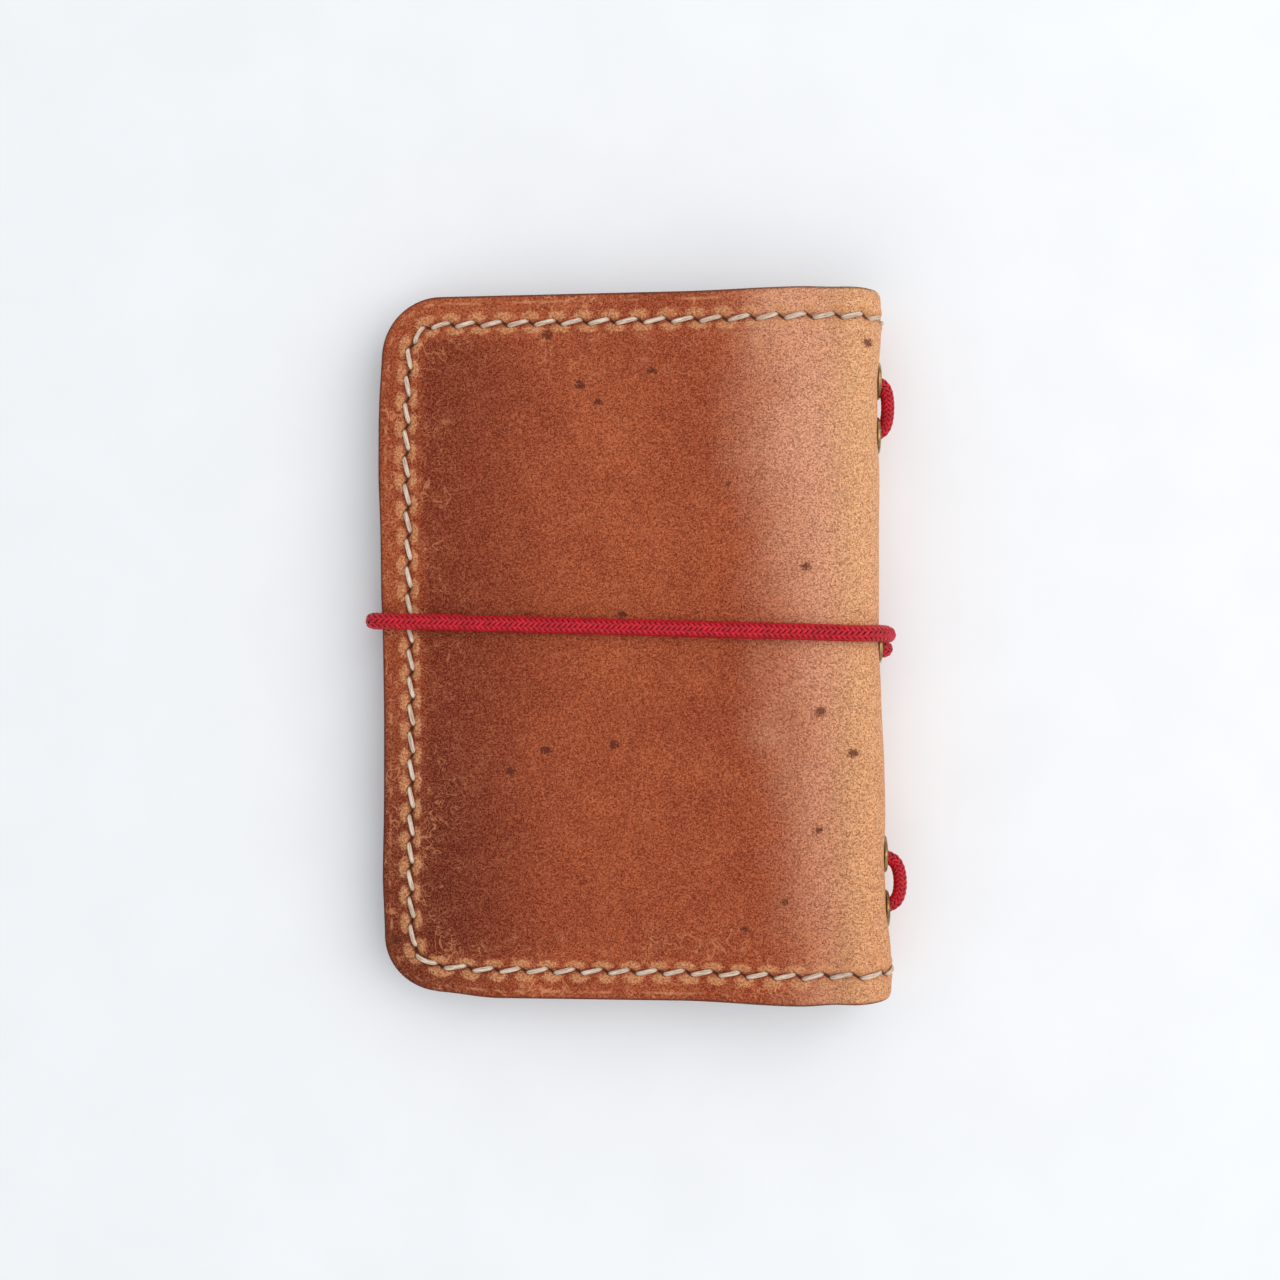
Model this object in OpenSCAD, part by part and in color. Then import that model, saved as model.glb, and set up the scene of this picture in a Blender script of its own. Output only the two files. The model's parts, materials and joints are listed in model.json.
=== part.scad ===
// Folding leather card holder: a hide wrap round a rounded spine, with card pockets inside,
// five eyelets down the spine, an insert elastic and an elastic closure band.
// Closed and lying on its back cover: spine at +X, fore edge at -X, front cover up.

/* [Cover] */
// Length of the folder along the spine
cover_h = 103; // [98:0.5:110]
// Width of the closed folder, fore edge to spine
cover_w = 73; // [70:0.5:80]
// Radius of the two fore-edge corners of each cover
corner_r = 8.7; // [6:0.1:11]
// Slope of the front cover down to the fore edge
cover_slope = 5; // [4.8:0.1:5.4]

/* [Leather] */
// Thickness of the outer hide
hide_t = 1.6; // [1.4:0.1:1.7]
// Thickness of the lining
lining_t = 0.8; // [0.6:0.1:0.9]
// Thickness of each card pocket
pocket_t = 1.0; // [0.8:0.1:1.0]
// Thickness of the card slot over the back pocket
slot_t = 0.8; // [0.6:0.1:0.8]

/* [Pockets] */
// Depth of the pockets from the fore edge
pocket_w = 61.5; // [60:0.5:63]
// Depth of the card slot from the fore edge
slot_w = 48; // [44:0.5:50]
// Radius of the thumb notch in each open edge
notch_r = 9; // [7:0.5:10]

/* [Spine] */
// Width of the slanted strip on each side of the spine
spine_side_w = 4.5; // [4.3:0.1:4.8]
// Width of the upright middle strip that carries the eyelets
spine_mid_w = 7.8; // [7.6:0.1:8.2]

/* [Eyelets] */
// Radius of the hole through each eyelet
eyelet_bore_r = 1.9; // [1.85:0.05:2]
// Radius of the eyelet's flange
eyelet_flange_r = 2.8; // [2.7:0.05:2.9]
// Distance from the middle of the spine to each inner eyelet of a pair
eyelet_inner_y = 30.8; // [30:0.1:31]
// Distance from the middle of the spine to each outer eyelet of a pair
eyelet_outer_y = 38.9; // [38.4:0.1:39.4]

/* [Elastics] */
// Thickness of the closure band
band_d = 2.3; // [2.2:0.05:2.4]
// Thickness of the insert elastic
insert_d = 1.9; // [1.8:0.05:1.95]

/* [Stitching] */
// Distance of the stitch line from the edge
stitch_inset = 4.3; // [4:0.1:4.6]
// Spacing of the stitch holes
stitch_pitch = 4; // [3.6:0.1:4.4]
// Thickness of the thread
thread_d = 0.7; // [0.6:0.05:0.8]

/* [Hidden] */
$fn = 64;

hide_colour = [0.66, 0.36, 0.23];
lining_colour = [0.76, 0.58, 0.42];
pocket_colour = [0.70, 0.44, 0.29];
thread_colour = [0.93, 0.88, 0.78];
brass_colour = [0.55, 0.44, 0.27];
elastic_colour = [0.75, 0.09, 0.19];

tiny = 0.01;
seam_gap = 0.05;
lined_t = hide_t + lining_t;

// The wrap turns by the same angle at each of its four bend lines.
bend = (180 + cover_slope) / 4;
mitre = tan(bend / 2);

// The groove that the band presses into the back cover lets it stand 1.3 mm proud.
band_groove = 1;
back_z = band_d - band_groove;
spine_x = cover_w / 2;
fore_x = -cover_w / 2;

// Bend lines on the outer surface, as [x, z], from the back cover round to the front cover.
bend_0 = [spine_x - spine_side_w * cos(bend), back_z];
bend_1 = bend_0 + spine_side_w * [cos(bend), sin(bend)];
bend_2 = bend_1 + spine_mid_w * [cos(2 * bend), sin(2 * bend)];
bend_3 = bend_2 + spine_side_w * [cos(3 * bend), sin(3 * bend)];
bend_points = [bend_0, bend_1, bend_2, bend_3];
back_w = bend_0[0] - fore_x;
front_w = (bend_3[0] - fore_x) / cos(cover_slope);

// Stack inside each cover: how far from the outer surface each layer begins.
pocket_z = lined_t;
slot_z = lined_t + pocket_t;

// How far a thumb notch's centre stands past the open edge, as a share of its radius.
notch_out = 0.35;

// Stitching
stitch_r = corner_r - stitch_inset;
stitch_half_h = cover_h / 2 - stitch_inset;
fold_margin = 1;
thread_gap = 0.7;
thread_slant = 9;
groove_w = 1.3;
thread_sides = 8;

// Eyelets
barrel_r = eyelet_bore_r + 0.4;
punch_clearance = 0.02;
punch_r = barrel_r + punch_clearance;
flange_bevel = 0.3;
flange_rise = 0.2;
flange_proud = 0.3;
flange_sunk = 0.25;
washer_t = 0.3;
washer_margin = 0.05;
roll_r = eyelet_flange_r - 0.25;
roll_t = 0.45;
roll_bevel = 0.15;
eyelet_ys = [-eyelet_outer_y, -eyelet_inner_y, 0, eyelet_inner_y, eyelet_outer_y];

// ---- places -------------------------------------------------------------------------------

// Puts children in the frame of one face of the wrap: x along the wrap, z inwards.
// face 0 is the back cover with its bend line at x = 0, faces 1 to 3 are the spine strips
// and face 4 is the front cover, each with its first bend line at x = 0.
module on_face(face) {
    start = bend_points[max(face - 1, 0)];
    translate([start[0], 0, start[1]])
    rotate([0, -face * bend, 0])
    children();
}

function face_point(face, x, depth) =
    let (start = bend_points[max(face - 1, 0)], turn = face * bend)
    [start[0] + x * cos(turn) - depth * sin(turn), start[1] + x * sin(turn) + depth * cos(turn)];

// ---- sheets -------------------------------------------------------------------------------

// A profile in x and z, extruded along the spine.
module along_spine(length, points) {
    rotate([90, 0, 0])
    linear_extrude(height = length, center = true)
    polygon(points);
}

// One layer of a spine strip, mitred at both bend lines.
module strip_layer(width, z_low, z_high) {
    along_spine(cover_h, [
        [seam_gap + z_low * mitre, z_low],
        [width - seam_gap - z_low * mitre, z_low],
        [width - seam_gap - z_high * mitre, z_high],
        [seam_gap + z_high * mitre, z_high],
    ]);
}

// Outline of a cover: fore edge with two round corners, straight at the fold (x = 0).
module cover_outline(width, inset = 0) {
    r = corner_r - inset;
    half_h = cover_h / 2 - inset;
    translate([-width + inset + r, -half_h])
    square([width - inset - r, 2 * half_h]);
    translate([-width + inset, -half_h + r])
    square([r + tiny, 2 * (half_h - r)]);
    for (side = [-1, 1])
        translate([-width + inset + r, side * (half_h - r)])
        circle(r = r);
}

// One full layer of a cover, mitred at the fold. The cover reaches from -width to 0.
module cover_layer(width, z_low, z_high) {
    intersection() {
        translate([0, 0, z_low])
        linear_extrude(height = z_high - z_low)
        cover_outline(width);
        along_spine(cover_h + 2, [
            [-width - 1, z_low - 1],
            [-seam_gap - (z_low - 1) * mitre, z_low - 1],
            [-seam_gap - (z_high + 1) * mitre, z_high + 1],
            [-width - 1, z_high + 1],
        ]);
    }
}

// A pocket layer: from the fore edge to an open edge with a thumb notch.
module pocket_layer(width, reach, z_low, z_high) {
    translate([0, 0, z_low])
    linear_extrude(height = z_high - z_low)
    difference() {
        intersection() {
            cover_outline(width);
            translate([-width - 1, -cover_h])
            square([reach + 1, 2 * cover_h]);
        }
        translate([-width + reach + notch_r * notch_out, 0])
        circle(r = notch_r);
    }
}

// The channel in the hide that the outer run of thread lies in.
module stitch_groove(width) {
    translate([0, 0, -tiny])
    linear_extrude(height = thread_d + tiny)
    difference() {
        cover_outline(width, stitch_inset - groove_w / 2);
        cover_outline(width, stitch_inset + groove_w / 2);
    }
}

module spine_stitch_groove(width) {
    for (side = [-1, 1])
        translate([-1, side * stitch_half_h - groove_w / 2, -tiny])
        cube([width + 2, groove_w, thread_d + tiny]);
}

// ---- stitching ----------------------------------------------------------------------------

// Lengths of the three kinds of stretch of one cover's stitch line.
function side_run(width) = width - corner_r - fold_margin;
corner_run = stitch_r * PI / 2;
fore_run = 2 * (stitch_half_h - stitch_r);
function stitch_run(width) = 2 * side_run(width) + 2 * corner_run + fore_run;

// Where the stitch line is at distance s from the fold, as [x, y].
function stitch_at(width, s) =
    let (
        a = side_run(width),
        b = a + corner_run,
        c = b + fore_run,
        d = c + corner_run,
        x_in = -width + corner_r,
        y_in = stitch_half_h - stitch_r
    )
    s < a ? [-fold_margin - s, stitch_half_h] :
    s < b ? [x_in, y_in] + stitch_r * [-sin((s - a) / stitch_r * 180 / PI),
                                       cos((s - a) / stitch_r * 180 / PI)] :
    s < c ? [x_in - stitch_r, y_in - (s - b)] :
    s < d ? [x_in, -y_in] + stitch_r * [-cos((s - c) / stitch_r * 180 / PI),
                                        -sin((s - c) / stitch_r * 180 / PI)] :
    [x_in + (s - d), -stitch_half_h];

// One run of thread between two holes, lying at depth z.
module thread_run(from, to, z, slant) {
    middle = (from + to) / 2;
    span = to - from;
    translate([middle[0], middle[1], z])
    rotate([0, 90, atan2(span[1], span[0]) + slant])
    cylinder(h = norm(span) - thread_gap, d = thread_d, center = true, $fn = thread_sides);
}

module thread_post(at, z_low, z_high) {
    translate([at[0], at[1], z_low])
    cylinder(h = z_high - z_low, d = thread_d, $fn = thread_sides);
}

// Thickness of the sewn stack of one cover at x, where x = -width is the fore edge.
function back_stack(x) =
    x < -back_w + slot_w ? slot_z + slot_t :
    x < -back_w + pocket_w ? slot_z :
    lined_t;
function front_stack(x) = x < -front_w + pocket_w ? slot_z : lined_t;

// Stitches that the band's channel crosses, beside the back cover's fore edge, are sunk under it.
function sunk(at, width, is_back, reach) =
    is_back && at[0] < -width + 2 * stitch_inset && abs(at[1] - band_fore_y) < reach
        ? band_groove + seam_gap
        : 0;

module cover_stitching(width, is_back) {
    count = round(stitch_run(width) / stitch_pitch);
    pitch = stitch_run(width) / count;
    for (i = [0 : count - 1]) {
        from = stitch_at(width, i * pitch);
        to = stitch_at(width, (i + 1) * pitch);
        near_x = max(from[0], to[0]);
        inner_z = is_back ? back_stack(near_x) : front_stack(near_x);
        outer_z = sunk((from + to) / 2, width, is_back, (band_d + stitch_pitch) / 2);
        thread_run(from, to, outer_z + thread_d / 2, thread_slant);
        thread_run(from, to, inner_z - thread_d / 2, -thread_slant);
    }
    for (i = [0 : count]) {
        at = stitch_at(width, i * pitch);
        stack = is_back ? back_stack(at[0]) : front_stack(at[0]);
        outer_z = sunk(at, width, is_back, band_d / 2 + thread_d);
        thread_post(at, outer_z + thread_d, stack - thread_d);
    }
}

module strip_stitching(width, count) {
    run = (width - 2 * lined_t * mitre) / count;
    for (side = [-1, 1], i = [0 : count - 1]) {
        from = [lined_t * mitre + i * run, side * stitch_half_h];
        to = from + [run, 0];
        thread_run(from, to, thread_d / 2, 0);
        thread_run(from, to, lined_t - thread_d / 2, 0);
    }
}

// ---- swept cord ---------------------------------------------------------------------------

// Points of a smooth curve through hand-chosen points (Catmull-Rom), steps per stretch.
function spline_point(a, b, c, d, t) =
    0.5 * (2 * b + (c - a) * t + (2 * a - 5 * b + 4 * c - d) * t * t
        + (3 * b - a - 3 * c + d) * t * t * t);
function smooth(points, steps) =
    let (n = len(points))
    [
        for (i = [0 : n - 2], k = [0 : steps - 1])
            spline_point(points[max(i - 1, 0)], points[i], points[i + 1],
                points[min(i + 2, n - 1)], k / steps),
        points[n - 1],
    ];
function unit(v) = v / norm(v);

// The ring's first direction is carried along the route, so that the tube doesn't twist.
function carried(tangents, i, side) =
    i == 0 ? unit(side - (side * tangents[0]) * tangents[0]) :
    let (last = carried(tangents, i - 1, side))
    unit(last - (last * tangents[i]) * tangents[i]);

// A tube along points [x, y, z, radius].
module cord(points, sides, first_side) {
    n = len(points);
    centres = [for (p = points) [p[0], p[1], p[2]]];
    tangents = [
        for (i = [0 : n - 1])
            unit(centres[min(i + 1, n - 1)] - centres[max(i - 1, 0)]),
    ];
    across = [for (i = [0 : n - 1]) carried(tangents, i, first_side)];
    skin = [
        for (i = [0 : n - 1], k = [0 : sides - 1])
            let (turn = 360 * k / sides, up = cross(tangents[i], across[i]))
            centres[i] + points[i][3] * (cos(turn) * across[i] + sin(turn) * up),
    ];
    faces = concat(
        [[for (k = [0 : sides - 1]) k]],
        [[for (k = [sides - 1 : -1 : 0]) (n - 1) * sides + k]],
        [
            for (i = [0 : n - 2], k = [0 : sides - 1])
                let (m = (k + 1) % sides)
                each [
                    [i * sides + k, (i + 1) * sides + k, i * sides + m],
                    [i * sides + m, (i + 1) * sides + k, (i + 1) * sides + m],
                ],
        ]
    );
    polyhedron(points = skin, faces = faces);
}

// ---- back cover ---------------------------------------------------------------------------

band_fore_y = 3.9;
band_front_y = 1.7;
band_back_y = -0.5;

// The pressed channel under the back cover and the foot of the spine, where the band lies.
module band_channel() {
    fall = atan2(band_back_y - band_fore_y, cover_w);
    translate([fore_x, band_fore_y, back_z + band_groove / 2])
    rotate([0, 0, fall])
    translate([-5, -band_d / 2 - seam_gap, -band_groove / 2 - 5])
    cube([cover_w + 5, band_d + 2 * seam_gap, band_groove + 5 + seam_gap]);
}

module back_cover_leather() {
    color(hide_colour)
    difference() {
        on_face(0) cover_layer(back_w, 0, hide_t);
        on_face(0) stitch_groove(back_w);
        band_channel();
    }
}

module back_lining() {
    color(lining_colour)
    on_face(0) cover_layer(back_w, hide_t, lined_t);
}

module back_pocket() {
    color(pocket_colour)
    on_face(0) pocket_layer(back_w, pocket_w, pocket_z, slot_z);
}

module back_card_slot() {
    color(pocket_colour)
    on_face(0) pocket_layer(back_w, slot_w, slot_z, slot_z + slot_t);
}

module back_stitching() {
    color(thread_colour)
    on_face(0) cover_stitching(back_w, true);
}

// ---- spine --------------------------------------------------------------------------------

module spine_leather_back() {
    color(hide_colour)
    difference() {
        on_face(1) strip_layer(spine_side_w, 0, hide_t);
        on_face(1) spine_stitch_groove(spine_side_w);
        band_channel();
    }
}

module spine_lining_back() {
    color(lining_colour)
    on_face(1) strip_layer(spine_side_w, hide_t, lined_t);
}

module spine_stitching_back() {
    color(thread_colour)
    on_face(1) strip_stitching(spine_side_w, 1);
}

module eyelet_punches() {
    for (y = eyelet_ys)
        translate([spine_mid_w / 2, y, -1])
        cylinder(h = lined_t + 2, r = punch_r);
}

// Seats in the hide that the flanges are pressed into.
module flange_seats() {
    for (y = eyelet_ys)
        translate([spine_mid_w / 2, y, -1])
        cylinder(h = 1 + flange_sunk, r = eyelet_flange_r + punch_clearance);
}

module spine_leather_middle() {
    color(hide_colour)
    on_face(2)
    difference() {
        strip_layer(spine_mid_w, 0, hide_t);
        spine_stitch_groove(spine_mid_w);
        eyelet_punches();
        flange_seats();
    }
}

module spine_lining_middle() {
    color(lining_colour)
    on_face(2)
    difference() {
        strip_layer(spine_mid_w, hide_t, lined_t);
        eyelet_punches();
    }
}

module spine_stitching_middle() {
    color(thread_colour)
    on_face(2) strip_stitching(spine_mid_w, 2);
}

// Flange outside, barrel through the leather, rolled end over the washer inside.
module eyelet() {
    inner_z = lined_t + washer_t;
    rotate_extrude()
    polygon([
        [eyelet_bore_r, -flange_proud],
        [eyelet_flange_r - flange_bevel, -flange_proud],
        [eyelet_flange_r, -flange_proud + flange_rise],
        [eyelet_flange_r, flange_sunk],
        [barrel_r, flange_sunk],
        [barrel_r, inner_z],
        [roll_r, inner_z],
        [roll_r - roll_bevel, inner_z + roll_t],
        [eyelet_bore_r, inner_z + roll_t],
    ]);
}

module eyelets() {
    color(brass_colour)
    on_face(2)
    for (y = eyelet_ys)
        translate([spine_mid_w / 2, y, 0])
        eyelet();
}

module eyelet_washers() {
    color(brass_colour)
    on_face(2)
    for (y = eyelet_ys)
        translate([spine_mid_w / 2, y, lined_t])
        difference() {
            cylinder(h = washer_t, r = roll_r + washer_margin);
            translate([0, 0, -1])
            cylinder(h = washer_t + 2, r = punch_r);
        }
}

// Route of the insert elastic in the middle strip's frame, as [along strip, y, depth]
// from its centre: a loop outside each pair of eyelets and two strands inside the spine.
insert_r = insert_d / 2;
upper_loop_stand = 1.42;
lower_loop_stand = 2.15;

// Up through the inner eyelet of a pair, over the hide, and down through the outer one.
function pair_loop(side, stand) =
    let (in_y = side * eyelet_inner_y, out_y = side * eyelet_outer_y)
    [
        [-0.9, in_y - side * 1.9, 4.22],
        [-0.7, in_y - side * 1.1, 3.9],
        [-0.62, in_y - side * 0.65, 3.2],
        [-0.6, in_y - side * 0.4, 2.6],
        [-0.6, in_y, 1],
        [-0.5, in_y + side * 0.6, -0.3],
        [-0.45, in_y + side * 1.1, -0.1 - 0.72 * stand],
        [-0.35, in_y + side * 2.1, -0.93 * stand],
        [0, (in_y + out_y) / 2, -stand],
        [0.35, out_y - side * 2.1, -0.93 * stand],
        [0.45, out_y - side * 1.1, -0.1 - 0.72 * stand],
        [0.5, out_y - side * 0.6, -0.3],
        [0.6, out_y, 1],
        [0.65, out_y - side * 0.4, 2.6],
        [0.68, out_y - side * 0.6, 3.2],
        [0.8, out_y - side * 1.05, 3.9],
        [1.1, out_y - side * 1.9, 4.22],
        [1.3, out_y - side * 3, 4.25],
    ];
lower_loop = pair_loop(-1, lower_loop_stand);
upper_loop = pair_loop(1, upper_loop_stand);
insert_start = [
    [-2, -17, 4.5],
    [-1.5, -24, 4.2],
    [-1, 3 - eyelet_inner_y, 4.25],
];
insert_inner_strand = [
    [1.6, -32, 4.2],
    [1.7, -20, 4.3],
    [2.2, -9, 4.5],
    [3.6, 0, 4.7],
    [2.2, 9, 4.5],
    [1.7, 20, 4.3],
    [1.6, 32, 4.2],
];
insert_end = [
    [-1, eyelet_inner_y - 3, 4.25],
    [-1.5, 24, 4.2],
    [-1.8, 15, 4.2],
    [-2.2, 9, 4.5],
    [-3.6, 0, 4.7],
    [-2.4, -8, 4.6],
    [-2, -13, 4.5],
];
insert_knot_at = [-2, -15, 4.6];
insert_knot_r = 1.9;
insert_knot_l = 4;
insert_route = concat(
    insert_start,
    lower_loop,
    insert_inner_strand,
    [for (i = [len(upper_loop) - 1 : -1 : 0]) upper_loop[i]],
    insert_end
);

module insert_elastic() {
    points = smooth(insert_route, 2);
    color(elastic_colour)
    on_face(2)
    translate([spine_mid_w / 2, 0, 0])
    cord([for (p = points) [p[0], p[1], p[2], insert_r]], 8, [0, 0, 1]);
}

// The reef knot that ties the insert elastic's ends, as a short rounded barrel.
module insert_elastic_knot() {
    color(elastic_colour)
    on_face(2)
    translate([spine_mid_w / 2, 0, 0] + insert_knot_at)
    rotate([90, 0, 0])
    cylinder(h = insert_knot_l, r = insert_knot_r, center = true);
}

// The overhand knot that stops both ends of the closure band inside the centre eyelet.
band_knot_r = 1.9;
module closure_band_knot() {
    color(elastic_colour)
    on_face(2)
    translate([spine_mid_w / 2, 0, lined_t + washer_t + roll_t + band_knot_r])
    sphere(r = band_knot_r);
}

module spine_leather_front() {
    color(hide_colour)
    on_face(3)
    difference() {
        strip_layer(spine_side_w, 0, hide_t);
        spine_stitch_groove(spine_side_w);
    }
}

module spine_lining_front() {
    color(lining_colour)
    on_face(3) strip_layer(spine_side_w, hide_t, lined_t);
}

module spine_stitching_front() {
    color(thread_colour)
    on_face(3) strip_stitching(spine_side_w, 1);
}

// ---- front cover --------------------------------------------------------------------------

// The front cover is drawn like the back cover and turned over, spine line to spine line.
module on_front() {
    on_face(4)
    mirror([1, 0, 0])
    children();
}

module front_cover_leather() {
    color(hide_colour)
    on_front()
    difference() {
        cover_layer(front_w, 0, hide_t);
        stitch_groove(front_w);
    }
}

module front_lining() {
    color(lining_colour)
    on_front() cover_layer(front_w, hide_t, lined_t);
}

module front_pocket() {
    color(pocket_colour)
    on_front() pocket_layer(front_w, pocket_w, pocket_z, slot_z);
}

module front_stitching() {
    color(thread_colour)
    on_front() cover_stitching(front_w, false);
}

// ---- closure band -------------------------------------------------------------------------

band_r = band_d / 2;
band_gap = 0.12;
band_lift = band_r + band_gap;
squeezed_r = 0.88;
eyelet_mid = spine_mid_w / 2;
// The band's two ends pass through the centre eyelet side by side, this far from its centre.
end_y = 0.95;
// Where the band rounds a bend line, in the frame of the face past the bend.
round_back = band_lift * sin(bend / 2);
round_lift = band_lift * cos(bend / 2);

// A point of the band's route over one face, lift above its outer surface.
function over(face, x, y, lift, r = band_r) =
    let (at = face_point(face, x, -lift))
    [at[0], y, at[1], r];

// Front strand, round the fore edge, back strand, both ends in the centre eyelet.
band_front_route = [
    over(2, eyelet_mid, end_y, -2.7, squeezed_r),
    over(2, eyelet_mid, end_y, -0.6, squeezed_r),
    over(2, eyelet_mid + 0.1, end_y, 0.4, squeezed_r),
    over(2, eyelet_mid + 0.8, 1.15, 1.3, squeezed_r),
    over(2, eyelet_mid + 1.9, 1.4, 1.55, 1),
    over(2, spine_mid_w - 1, 1.6, band_lift + 0.1),
    over(3, -round_back, band_front_y, round_lift),
    over(3, 1.2, band_front_y, band_lift),
    over(3, spine_side_w - 1.2, band_front_y, band_lift),
    over(4, -round_back, band_front_y, round_lift),
    over(4, 1.2, band_front_y, band_lift),
    over(4, 14, 2.1, band_lift),
    over(4, 38, 2.9, band_lift),
    over(4, 60, 3.5, band_lift),
    over(4, front_w - 1, band_fore_y, band_lift),
];
fore_lift_x = fore_x - band_lift;
fore_top = face_point(4, front_w, 0)[1];
groove_top = back_z + band_groove;
// How far out and up the band's centre stands as it rounds a square edge.
edge_share = 0.72;
edge_lift = band_lift * edge_share;
band_fore_route = [
    [fore_x - edge_lift, band_fore_y, fore_top + edge_lift, band_r],
    [fore_lift_x, band_fore_y, fore_top - 0.4, band_r],
    [fore_lift_x, band_fore_y, (fore_top + back_z) / 2, band_r],
    [fore_lift_x, band_fore_y, groove_top + 0.4, band_r],
    [fore_x - edge_lift, band_fore_y, groove_top - edge_lift, band_r],
];
// Along the channel, falling from the fore edge's y to the spine's.
function channel_y(x) = band_fore_y + (band_back_y - band_fore_y) * (x - fore_x) / cover_w;
function in_channel(x) = [x, channel_y(x), band_r, band_r];
band_back_route = [
    in_channel(fore_x + 1),
    in_channel(-15),
    in_channel(10),
    in_channel(bend_0[0] - 2),
    in_channel(bend_0[0] + 1.4),
    over(1, 2.7, band_back_y, band_lift),
    over(2, -round_back, band_back_y, round_lift),
    over(2, 1, band_back_y, band_lift + 0.1),
    over(2, eyelet_mid - 1.9, band_back_y, 1.55, 1),
    over(2, eyelet_mid - 0.8, -end_y, 1.3, squeezed_r),
    over(2, eyelet_mid - 0.1, -end_y, 0.4, squeezed_r),
    over(2, eyelet_mid, -end_y, -0.6, squeezed_r),
    over(2, eyelet_mid, -end_y, -2.7, squeezed_r),
];

module closure_band() {
    points = smooth(concat(band_front_route, band_fore_route, band_back_route), 2);
    color(elastic_colour)
    cord(points, 10, [0, 1, 0]);
}

back_cover_leather();
back_lining();
back_pocket();
back_card_slot();
back_stitching();
spine_leather_back();
spine_lining_back();
spine_stitching_back();
spine_leather_middle();
spine_lining_middle();
spine_stitching_middle();
eyelets();
eyelet_washers();
insert_elastic();
insert_elastic_knot();
closure_band_knot();
spine_leather_front();
spine_lining_front();
spine_stitching_front();
front_cover_leather();
front_lining();
front_pocket();
front_stitching();
closure_band();
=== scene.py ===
"""Looks of the folding leather card holder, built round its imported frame. Lengths in metres."""

import json
import math

import bpy
import numpy as np
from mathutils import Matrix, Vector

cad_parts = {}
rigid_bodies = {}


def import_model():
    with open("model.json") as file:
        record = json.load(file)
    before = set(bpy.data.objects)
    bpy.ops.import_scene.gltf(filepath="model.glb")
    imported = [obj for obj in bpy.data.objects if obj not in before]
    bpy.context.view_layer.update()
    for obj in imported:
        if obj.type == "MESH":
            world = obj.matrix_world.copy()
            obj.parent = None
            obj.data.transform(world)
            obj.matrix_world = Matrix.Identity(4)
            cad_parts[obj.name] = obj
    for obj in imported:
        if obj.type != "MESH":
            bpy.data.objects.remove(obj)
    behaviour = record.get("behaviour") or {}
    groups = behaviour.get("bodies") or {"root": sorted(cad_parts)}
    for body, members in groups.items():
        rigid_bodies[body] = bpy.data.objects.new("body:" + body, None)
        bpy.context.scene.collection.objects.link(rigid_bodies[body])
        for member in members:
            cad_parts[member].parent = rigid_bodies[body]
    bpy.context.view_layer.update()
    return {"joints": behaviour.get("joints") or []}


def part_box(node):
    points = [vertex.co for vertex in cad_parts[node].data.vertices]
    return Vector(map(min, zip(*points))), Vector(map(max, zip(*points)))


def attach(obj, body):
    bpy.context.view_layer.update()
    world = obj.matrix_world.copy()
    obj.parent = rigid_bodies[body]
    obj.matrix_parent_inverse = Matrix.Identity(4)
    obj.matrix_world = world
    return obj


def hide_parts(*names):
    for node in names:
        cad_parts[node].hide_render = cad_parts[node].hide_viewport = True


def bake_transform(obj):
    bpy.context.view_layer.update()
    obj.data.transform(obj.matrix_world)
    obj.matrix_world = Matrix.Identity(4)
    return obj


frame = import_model()
MM = 0.001

# ---- sizes that come from the frame ----

JOINTS = {joint["name"]: joint for joint in frame["joints"]}
BENDS = ("cover_open", "spine_bend_back", "spine_bend_front", "front_cover_bend")


def bend_point(name):
    """Where a bend line crosses the plane across the spine, as (x, z)."""
    x, _, z = JOINTS[name]["pos_m"]
    return np.array([x, z])


BEND_AT = [bend_point(name) for name in BENDS]
TURN = math.radians(JOINTS["cover_open"]["range_deg"][1])
HIDE_LOW, HIDE_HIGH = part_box("back_cover_leather")
BACK_Z = BEND_AT[0][1]
HIDE_T = HIDE_HIGH.z - BACK_Z
LINED_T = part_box("back_lining")[1].z - BACK_Z
POCKET_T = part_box("back_pocket")[1].z - BACK_Z
SLOT_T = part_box("back_card_slot")[1].z - BACK_Z
FORE_X = HIDE_LOW.x
HALF_H = HIDE_HIGH.y
POCKET_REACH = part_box("back_pocket")[1].x - FORE_X
SLOT_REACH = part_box("back_card_slot")[1].x - FORE_X
CORNER_R = 8.7 * MM
STITCH_INSET = 4.3 * MM
STITCH_PITCH = 4 * MM
STITCH_LEAN = 0.37 * MM
STITCH_GAP = 0.13  # the share of a pitch at each end of a stitch where the slit shows
THREAD_R = 0.31 * MM

# ---- the surface of the wrap ----
# A point of the wrap is (u, v, w): u along the outside from the back cover's fore edge round the
# spine to the front cover's, v along the spine, and w inwards from the outer surface.

FRONT_ANGLE = 4 * TURN
BACK_W = BEND_AT[0][0] - FORE_X
FRONT_W = (BEND_AT[3][0] - FORE_X) / -math.cos(FRONT_ANGLE)
FACE_W = [BACK_W] + [float(np.linalg.norm(BEND_AT[i + 1] - BEND_AT[i])) for i in range(3)]
FACE_W.append(FRONT_W)
BEND_U = np.cumsum(FACE_W)[:4]
WRAP_W = float(sum(FACE_W))
ROUND = 2.2 * MM  # how far each rounded bend reaches to either side of its bend line
ROUND_R = ROUND / math.tan(TURN / 2)
SPINE_MID_U = (BEND_U[1] + BEND_U[2]) / 2

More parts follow.
